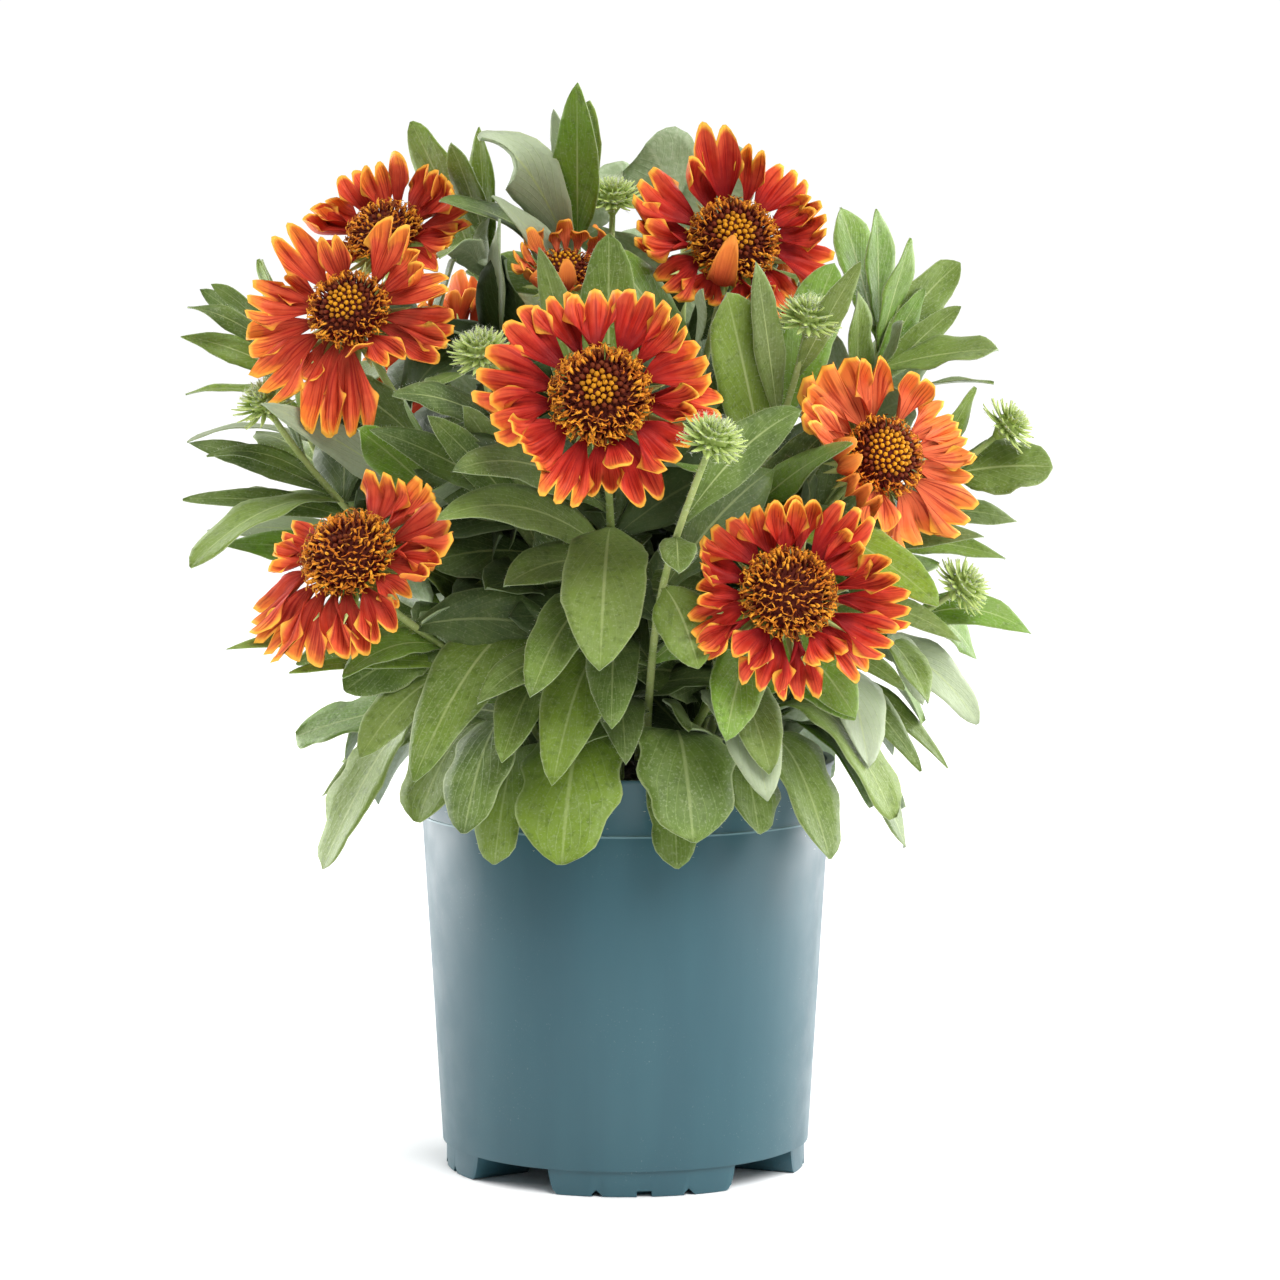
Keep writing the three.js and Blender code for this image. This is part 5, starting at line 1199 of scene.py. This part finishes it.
def cup_form(disc):
    """The cup under a bloom, with its rings of bracts, as BALL has a bud's ball."""
    rings = [(24, disc * 0.5, -3.0, -12, 0.88 * disc, 3.8, 0.14),
             (18, disc * 0.44, -4.6, -34, 0.55 * disc, 3.0, 0.2)]
    wall = ((0.5, disc * 0.3), (0.72, disc * 0.46), (0.9, disc * 0.58), (1, disc * 0.5))
    return rings, ((0, 1.7), (0.25, 2.6), *wall), -11.0, -0.2


class FLOWER_OT_greenery(bpy.types.Operator):
    """Grow the stems, their leaves, buds and cups, with veins, waved margins and hairs"""

    bl_idname = "flower.greenery"
    bl_label = "Stems, leaves and buds"

    def bract(self, axis, start, ways, length, width, sag):
        """Shapes of narrow pointed bracts from arrays of starts and ways, bent back by sag."""
        x, y, z = points_of(self.bracts)
        u = (x + 1) / 2
        across = unit(np.cross(ways, np.broadcast_to(axis, ways.shape)))
        over = np.cross(across, ways)
        size = width / 2 * np.interp(u, (0, 0.25, 0.6, 1), (0.8, 1, 0.7, 0.04))
        out = start[:, None] + ways[:, None] * u[None, :, None] * length[:, None, None]
        body = 0.3 * z * (1 - 0.6 * np.abs(y))
        lift = -sag * length[:, None] * u[None] ** 2 + body + size * 0.35 * np.abs(y)
        return out + across[:, None] * (y * size)[None, :, None] - over[:, None] * lift[..., None]

    def head_parts(self, name, head, disc):
        """The bracts, cup or ball and hairs of one head."""
        origin, axis = head[:2]
        rings, profile, low, high = cup_form(disc) if disc else BALL
        x, y, z = points_of(self.rod)
        size = np.interp(z, *np.array(profile).T)
        cup = round_head(head, x, y, size * np.hypot(x, y), low + (high - low) * z)
        parts = [repeat(f"{name}_cup", self.rod, cup, self.looks["bract"], rise=z * 0.4)]
        u = (points_of(self.bracts)[0] + 1) / 2
        for row, (count, radius, height, rise, length, width, sag) in enumerate(rings):
            k = np.arange(count)
            draw = chance(k * 3.7 + row * 31 + len(name) + ord(name[-1]))
            clock = 360 * (k + 0.5 * (row % 2)) / count + 10 * (draw - 0.5)
            tilt = np.radians(rise + 16 * (draw - 0.5))
            start = on_head(head, clock, radius, height)
            level = on_head(head, clock, 1, 0) - origin
            ways = unit(level * np.cos(tilt)[:, None] + axis * np.sin(tilt)[:, None])
            reach = length * (0.85 + 0.3 * draw)
            shape = self.bract(axis, start, ways, reach, width, sag)
            rises = np.tile(u, (count, 1))
            bracts = repeat(f"{name}_bracts", self.bracts, shape, self.looks["bract"], rise=rises)
            down, fine = (9, 1.5) if disc else (16, 2.0)
            hair = np.arange(count * down)
            owner = np.repeat(k, down)
            share = 0.15 + 0.8 * chance(hair * 1.7 + row)
            base = start[owner] + ways[owner] * (share * reach[owner])[:, None]
            spread = unit(np.cross(ways[owner], axis)) * np.where(hair % 2, 1, -1)[:, None]
            way = spread + ways[owner] * 0.6 + axis * (chance(hair + 5)[:, None] - 0.3)
            parts += [bracts, self.fluff(f"{name}_fluff", base, way, fine)]
        return parts

    def fluff(self, name, base, way, length):
        """Fine hairs from their bases and ways."""
        size = length * (0.6 + 0.8 * chance(np.arange(len(base)) * 1.3))
        return repeat(name, self.thorn, spikes(self.thorn, base, way, size, 0.055), self.looks["hair"])

    def stem_parts(self, name, line):
        """The stem itself and the hairs that stand out all round it."""
        kind = name.split("_")[0]
        thickness = STEM_THICKNESS[kind]
        x, y, z = points_of(self.rod)
        way = tangent(line, z)
        back = beside(way)
        size = thickness * (1 - STEM_TAPER * z) * STEM_RADIUS
        tube = bezier(line, z) + (back * x[:, None] + np.cross(way, back) * y[:, None]) * size[:, None]
        parts = [repeat(f"{name}_stem", self.rod, tube[None], self.looks["stem"])]
        if kind != "tuft":
            k = np.arange(230)
            share = 0.1 + 0.88 * chance(k * 1.9 + ord(name[-1]))
            turn = math.tau * chance(k * 2.3 + len(name))
            way = tangent(line, share)
            back = beside(way)
            out = back * np.cos(turn)[:, None] + np.cross(way, back) * np.sin(turn)[:, None]
            size = thickness * STEM_RADIUS * (1 - STEM_TAPER * share) - 0.1
            base = bezier(line, share) + out * size[:, None]
            parts.append(self.fluff(f"{name}_down", base, out + 0.25 * way, 1.5))
        return parts

    def leaf_parts(self, name, kind, template, mine, look):
        """The leaves of one kind on a stem, with the hairs of their margins, or nothing if it has none."""
        those = [(k, row) for k, row in mine if kind == self.kind(row, k)]
        if not those:
            return []
        shapes = [leaf_shape(template, *row, k, look) for k, row in those]
        values = {
            "tone": [self.tone(row, k) for k, row in those],
            "young": [self.youth(row, k) for k, row in those],
            "back": np.tile(points_of(template)[2] < 0, (len(those), 1)),
        }
        parts = [repeat(f"{name}_leaves", template, shapes, self.looks["leaf"], **values)]
        if kind != "deep":
            for k, row in those:
                base, way = hairs_on_leaf(*row, k, look.hairs)
                parts.append(self.fluff(f"{name}_fringe", base, way, 0.9))
        return parts

    def execute(self, context):
        look = context.scene.flower_leaf
        self.looks = {"leaf": leaf_material(look), "stem": stem_material(look),
                      "bract": bract_material(), "hair": hair_material()}
        self.rod, self.bracts, self.thorn = rod(10, 18), blade(6, 2), thorn()
        blades = {"wide": blade(18, 8), "narrow": blade(16, 6), "lobed": blade(34, 6), "deep": blade(8, 4)}
        plants = plan()
        rows = settled(leaf_rows(plants))
        if len(rows) < FEWEST:
            raise RuntimeError(f"only {len(rows)} leaves were found on the part")
        rows += [by_hand(plants, *leaf) for leaf in SPARE]
        rows += [None] * (DEEP - len(rows)) + inner_leaves(plants)
        for name, (line, head, disc) in plants.items():
            parts = self.stem_parts(name, line)
            if head is not None:
                parts += self.head_parts(name, head, disc)
            mine = [(k, row[1:]) for k, row in enumerate(rows) if row and row[0] == name]
            for kind, template in blades.items():
                parts += self.leaf_parts(name, kind, template, mine, look)
            piece = joined(name + "_green", parts)
            settle(piece, name)
        drop(self.rod, self.bracts, self.thorn, *blades.values())
        return {"FINISHED"}

    def kind(self, row, k):
        """Which blade a leaf is copied from."""
        _, _, width, _, _, outline = row
        if k >= DEEP:
            return "deep"
        if outline in HANGING:
            return "lobed"
        return "wide" if width > WIDE_LEAF else "narrow"

    def tone(self, row, k):
        """How dark or silvery a leaf is: broad ones aren't silvery, and those deep inside are darkest, as
        painted shade.
        """
        _, (x, y, z), width, _, _, _ = row
        # Leaves deep inside get a tone under nothing, which paints shade on them.
        if k >= DEEP:
            return -0.35 - 0.6 * chance(k * 1.1)
        for tip_x, tip_z, tone in TONES:
            if math.hypot(x - tip_x, z - tip_z) < 5:
                return tone
        return float(chance(k * 1.1 + 0.5) * (0.85 if width > WIDE_LEAF else 1.0))

    def youth(self, row, k):
        """How fresh and yellow a leaf is: high and outer leaves more so, with a draw of their own."""
        _, (x, y, z), _, _, _, outline = row
        reach = math.hypot(x, y)
        high = np.clip((z - 320) / 110, 0, 1) * 0.8
        outer = np.clip((reach - 120) / 60, 0, 1) * 0.5
        low = 0.35 if outline in HANGING else 0.45 * float(z < 250 and reach > 115)
        return float(np.clip(high + outer + low + 0.8 * (chance(k * 2.9 + 1.3) - 0.5), 0, 1))


# ---- the blooms ----------------------------------------------------------------------------
def ray_rows(key):
    """The rays given for a bloom, or an even ring of them."""
    given = BLOOMS[key][4]
    if isinstance(given, list):
        return given
    rows = []
    for i in range(EVEN_RAYS):
        swing, far, lift, broad = chance(key * 100 + i * 5 + np.arange(1, 5))
        clock = 360 * i / EVEN_RAYS + 6 * swing
        rows.append((clock, given * (0.88 + 0.16 * far), -6 + 16 * lift, 14 + 3 * broad))
    return rows


class FLOWER_OT_rays(bpy.types.Operator):
    """Set a ring of fluted, lobed ray florets round each bloom"""

    bl_idname = "flower.rays"
    bl_label = "Ray florets"

    def ray(self, template, head, disc, row, stagger, seed, openness, look):
        """One ray: a tube at its claw that opens into a pleated funnel with lobes."""
        clock, reach, lift, width = row
        draws = chance(seed * 13 + np.arange(11))
        notched, pointed, furled, curled, twisted, broad, long, leaning, aside, raised, tubular = draws
        width = width * look.fuller * (0.85 + 0.3 * broad)
        reach = reach * (0.89 + 0.14 * long)
        clock = clock + 8 * (aside - 0.5)
        small = min(1.0, reach / 38)
        lift = lift + 9 * small * (raised - 0.5)
        rolled = 1.7 if tubular > 0.7 else 1.0
        x, y, z = points_of(template)
        u = (x + 1) / 2
        lobes = 3 if width > BROAD else 2 if width > SLIM else 1
        part = lobes / 2 * np.abs(y) + (0.5 if lobes == 2 else 0.0)
        off = 2 * np.abs(part - np.round(part))
        cut = (look.notch * (0.7 + 0.6 * notched) * (1 - np.sqrt(1 - 0.98 * off ** 2))
               + 0.07 * np.abs(y) ** 2 * (0.5 + pointed))
        s = u * 1.04 - cut * smooth((u - 0.45) / 0.55)
        low = 0.9
        far = (disc + 12, lift * 0.55) if reach < disc + 6 else (reach * 0.8, lift * 0.45 + stagger)
        line = ((disc * 0.62, low), (disc + 3, low), far, (reach, lift + stagger))
        spot, way = bezier(line, s), tangent(line, s)
        half = np.interp(u, (0, 0.13, 0.28, 0.48, 0.7, 0.88, 1),
                         (1.4, 2.0, 0.3 * width, 0.48 * width, 0.58 * width, 0.62 * width, 0.56 * width))
        bend = np.interp(u, (0, 0.15, 0.35, 0.6, 1), (1.4, 2.0, 1.35, 0.85, 0.3))
        bend = bend * openness * rolled * (0.75 + 0.5 * furled)
        turn = y * bend
        across = half / bend * np.sin(turn)
        rise = half / bend * (1 - np.cos(turn)) * 0.9
        pleat = 0.13 * width * (np.cos(lobes * math.pi * (y + (lobes == 2))) - 1) * smooth((u - 0.2) / 0.6)
        curl = ((curled - 0.35) * 9.0 * smooth((u - 0.6) / 0.4) ** 2
                + (twisted - 0.5) * 10.0 * y * smooth((u - 0.3) / 0.7))
        curl = curl * small ** 2
        body = look.thickness / MM / 2 * (0.45 + 0.55 * np.sqrt(1 - 0.9 * y ** 2)) * z
        height = rise + pleat + curl + body - 0.5
        out = spot[:, 0] - way[:, 1] * height
        front = spot[:, 1] + way[:, 0] * height
        side = on_head(head, clock + 90, 1.0, 0.0) - head[0]
        across = across + (leaning - 0.5) * 7.0 * small ** 2 * u ** 2
        return on_head(head, clock, out, front) + across[:, None] * side

    def execute(self, context):
        look = context.scene.flower_ray
        material = ray_material(look)
        template, ring = blade(16, 12), rod(24, 2)
        back = points_of(template)[2] < 0
        x, y, z = points_of(ring)
        for key, (_, _, disc, _, _) in BLOOMS.items():
            head = bloom_head(key)
            rows = ray_rows(key)
            if key in DOUBLED:
                rows = [(clock + 17 * n, reach * (1 - 0.08 * n), lift + 1.5 * n, width * 0.8)
                        for n in (0, 1) for clock, reach, lift, width in rows]
            count = len(rows)
            _, pale, openness = AGES[key]
            shapes = [self.ray(template, head, disc, row, -1.5 if i % 2 else 1.5, key * 20 + i,
                               openness, look) for i, row in enumerate(rows)]
            values = {"tone": chance(key * 31 + np.arange(count) * 1.7), "pale": np.full(count, pale),
                      "back": np.tile(back, (count, 1))}
            petals = repeat("petals", template, shapes, material, **values)
            plate = round_head(head, x, y, np.hypot(x, y) * disc * 0.72, 0.3 + 1.2 * z)
            collar = repeat("collar", ring, plate, material, tone=0.5, pale=0.0, back=0.0)
            piece = joined(f"rays_{key}_petals", [petals, collar])
            settle(piece, f"rays_{key}")
        drop(template, ring)
        return {"FINISHED"}


class FLOWER_OT_discs(bpy.types.Operator):
    """Crowd each bloom's domed disc with its florets, closed in the middle and open round it"""

    bl_idname = "flower.discs"
    bl_label = "Disc florets"

    def florets(self, head, disc, share, turn):
        """Bases and ways of florets at shares of the dome's radius."""
        core, rise = disc * DOME, disc * DOME_RISE
        angle = share * DOME_ARC
        clock = np.degrees(turn)
        base = on_head(head, clock, core * np.sin(angle), DOME_FOOT + rise * np.cos(angle))
        tip = on_head(head, clock, core * 1.5 * np.sin(angle) + 1.2 * share,
                      DOME_FOOT + rise * 1.7 * np.cos(angle) + 2.0)
        return base, unit(tip - base)

    def dome(self, template, head, disc):
        """The shape of the dome under the florets."""
        x, y, z = points_of(template)
        angle = z * math.pi / 2
        out = np.where(z < 0.01, 0.62 * disc, disc * DOME * np.cos(angle * 0.96)) * np.hypot(x, y)
        up = np.where(z < 0.01, 1.8, DOME_FOOT + disc * DOME_RISE * np.sin(angle))
        return round_head(head, x, y, out, up)

    def disc_parts(self, key, head, disc, count):
        """The dome, its florets, the forked styles of the open ones and the dark bristles between."""
        opened = AGES[key][0]
        parts = [repeat("core", self.core, self.dome(self.core, head, disc), self.looks["core"])]
        k = np.arange(count)
        share = np.sqrt((k + 0.5) / count)
        base, way = self.florets(head, disc, share, k * GOLDEN_ANGLE)
        x, y, z = points_of(self.tube)
        draw = chance(k * 1.37 + key)
        is_open = share > 1 - opened + 0.12 * (draw - 0.5)
        middling = (share > 0.9 - opened) & ~is_open
        length = np.where(is_open, 2.8 + 2.2 * draw, np.where(middling, 2.2, 1.5 + 0.5 * draw))
        length = length * disc / MIDDLING * 1.1
        inner = smooth(1.7 * (1 - share / max(1 - opened, 0.05)))
        golden = np.clip(1.5 - 1.15 * opened, 0, 1) * (0.25 + 0.75 * inner)
        fresh = np.where(chance(k * 4.1) > 0.3, 0.6 + 0.4 * draw, 0.12)
        lit = np.where(is_open, fresh, np.where(middling, 0.05, golden))
        sideways = unit(np.cross(way, np.roll(way, 1, axis=1)))
        over = np.cross(way, sideways)
        sway = chance(np.stack([k * 2.11 + 3, k * 3.07 + 8], -1)) - 0.5
        sway = np.where(is_open, 2.4, 0.3)[:, None] * sway
        bent = sideways * sway[:, :1] + over * sway[:, 1:]
        star = np.interp(z, (0, 0.5, 0.8, 1), (0.3, 0.36, 0.62, 0.5))
        knob = np.interp(z, (0, 0.4, 0.75, 1), (0.9, 1.08, 1.0, 0.66))
        girth = np.where(is_open[:, None], star[None], knob[None]) * disc / MIDDLING
        shape = (base[:, None] + way[:, None] * (z[None] * length[:, None])[..., None]
                 + bent[:, None] * (z ** 2)[None, :, None] + sideways[:, None] * (x[None] * girth)[..., None]
                 + over[:, None] * (y[None] * girth)[..., None])
        values = {"rise": np.tile(z, (count, 1)), "lit": lit, "tone": draw,
                  "shut": np.where(is_open | middling, 0.0, 1.0)}
        parts.append(repeat("florets", self.tube, shape, self.looks["floret"], **values))
        some = np.nonzero(is_open)[0]
        tips = (base + way * (length * 0.95)[:, None] + bent)[some]
        for fork in (-1, 1):
            swing = over * 2.4 * (chance(k * 3.3 + fork)[:, None] - 0.5)
            lean = unit(sideways * fork + swing + way * 0.9)[some]
            hook = unit(np.cross(lean, way[some])) * (1.6 * (chance(some * 1.9 + fork) - 0.5))[:, None]
            hook = hook - way[some] * 0.5
            reach = (1.3 + 1.5 * chance(some * 2.7 + fork)) * disc / MIDDLING
            arms = spikes(self.arm, tips, lean, reach, 0.22)
            arms = arms + hook[:, None] * (points_of(self.arm)[2] ** 2)[None, :, None]
            values = {"rise": 0.9, "lit": chance(some * 6.3 + fork) ** 0.6, "tone": draw[some], "shut": 0.0}
            parts.append(repeat("styles", self.arm, arms, self.looks["floret"], **values))
        dark = k[::3]
        lean = way[dark] + sideways[dark] * (chance(dark * 5.1)[:, None] - 0.5)
        needle = spikes(self.arm, base[dark] + sideways[dark] * 0.8, lean, 3.0 * disc / MIDDLING, 0.14)
        values = {"rise": 0.0, "lit": 0.0, "tone": draw[dark], "shut": 0.0}
        parts.append(repeat("bristles", self.arm, needle, self.looks["floret"], **values))
        return parts

    def execute(self, context):
        look = context.scene.flower_disc
        self.looks = {"core": core_material(look), "floret": floret_material(look)}
        self.core, self.tube, self.arm = rod(28, 8), rod(5, 3), rod(3, 2)
        for key, (_, _, disc, _, _) in BLOOMS.items():
            count = int(look.florets * (disc / MIDDLING) ** 2)
            piece = joined(f"disc_{key}_florets", self.disc_parts(key, bloom_head(key), disc, count))
            settle(piece, f"disc_{key}")
        drop(self.core, self.tube, self.arm)
        return {"FINISHED"}


class FLOWER_OT_stage(bpy.types.Operator):
    """Lay the pale floor and set the soft lights and the camera"""

    bl_idname = "flower.stage"
    bl_label = "Floor, light and camera"

    def light(self, kind, name, energy, place, **props):
        """A light that stands at a place and looks at the middle of the plant."""
        lamp = bpy.data.lights.new(name, kind)
        lamp.energy = energy
        for key, value in props.items():
            setattr(lamp, key, value)
        holder = bpy.data.objects.new(name, lamp)
        bpy.context.collection.objects.link(holder)
        holder.location = place
        x, y, z = place
        holder.rotation_euler = (math.pi / 2 - math.atan2(z - 0.2, math.hypot(x, y)), 0, math.atan2(x, -y))

    def execute(self, context):
        look = context.scene.flower_stage
        clear()
        bpy.ops.mesh.primitive_circle_add(vertices=96, radius=12, fill_type="NGON", location=(0, 0, -0.0002))
        floor = context.object
        floor.name = "floor"
        s = Shade("Pale floor", 0.7)
        floor.data.materials.append(s.finish(s.mix(s.noise(2.0), look.floor, (0.94, 0.94, 0.94))))
        world = bpy.data.worlds.new("Soft surroundings")
        world.use_nodes = True
        background = world.node_tree.nodes["Background"]
        background.inputs[0].default_value = (1, 1, 1, 1)
        way = world.node_tree.nodes.new("ShaderNodeTexCoord").outputs["Generated"]
        parts = world.node_tree.nodes.new("ShaderNodeSeparateXYZ")
        level = world.node_tree.nodes.new("ShaderNodeMapRange")
        world.node_tree.links.new(way, parts.inputs[0])
        world.node_tree.links.new(parts.outputs["Y"], level.inputs["Value"])
        world.node_tree.links.new(level.outputs[0], background.inputs["Strength"])
        reach = {"From Min": 0.0, "From Max": 0.75, "To Min": look.before, "To Max": look.behind}
        for key, value in reach.items():
            level.inputs[key].default_value = value
        context.scene.world = world
        self.light("SUN", "key", look.sun, (0.9, -1.5, 2.2), angle=math.radians(38))
        self.light("AREA", "left_box", look.boxes, (-1.75, 1.0, 0.6), size=2.0)
        self.light("AREA", "right_box", look.boxes, (1.75, 1.0, 0.6), size=2.0)
        self.light("AREA", "side_box", look.fill, (1.7, -0.6, 0.5), size=1.0)
        lens = bpy.data.cameras.new("camera")
        lens.sensor_width = 36
        lens.lens = CAMERA["lens"]
        lens.clip_end = 60
        holder = bpy.data.objects.new("camera", lens)
        context.collection.objects.link(holder)
        holder.location = CAMERA["place"]
        holder.rotation_euler = (math.pi / 2 - CAMERA["dip"], 0, 0)
        context.scene.camera = holder
        context.scene.view_settings.view_transform = "Standard"
        return {"FINISHED"}


class FLOWER_PT_panel(bpy.types.Panel):
    """Lists the pieces of the potted flower"""

    bl_label = "Blanket flower"
    bl_idname = "FLOWER_PT_panel"
    bl_space_type = "VIEW_3D"
    bl_region_type = "UI"
    bl_category = "Blanket flower"

    def draw(self, context):
        for operator, settings in STEPS:
            box = self.layout.box()
            box.operator(operator.bl_idname)
            group = getattr(context.scene, settings)
            for key in group.bl_rna.properties.keys():
                if key not in ("rna_type", "name"):
                    box.prop(group, key)


SETTINGS = {
    "flower_pot": PotSettings, "flower_soil": SoilSettings, "flower_leaf": LeafSettings,
    "flower_ray": RaySettings, "flower_disc": DiscSettings, "flower_stage": StageSettings,
}
STEPS = (
    (FLOWER_OT_stage, "flower_stage"), (FLOWER_OT_pot, "flower_pot"), (FLOWER_OT_soil, "flower_soil"),
    (FLOWER_OT_greenery, "flower_leaf"), (FLOWER_OT_rays, "flower_ray"), (FLOWER_OT_discs, "flower_disc"),
)


def register():
    for name, group in SETTINGS.items():
        bpy.utils.register_class(group)
        setattr(bpy.types.Scene, name, PointerProperty(type=group))
    for operator, _ in STEPS:
        bpy.utils.register_class(operator)
    bpy.utils.register_class(FLOWER_PT_panel)


def unregister():
    bpy.utils.unregister_class(FLOWER_PT_panel)
    for operator, _ in reversed(STEPS):
        bpy.utils.unregister_class(operator)
    for name, group in SETTINGS.items():
        delattr(bpy.types.Scene, name)
        bpy.utils.unregister_class(group)


def main():
    register()
    for operator, _ in STEPS:
        group, name = operator.bl_idname.split(".")
        getattr(getattr(bpy.ops, group), name)()


if __name__ == "__main__":
    main()
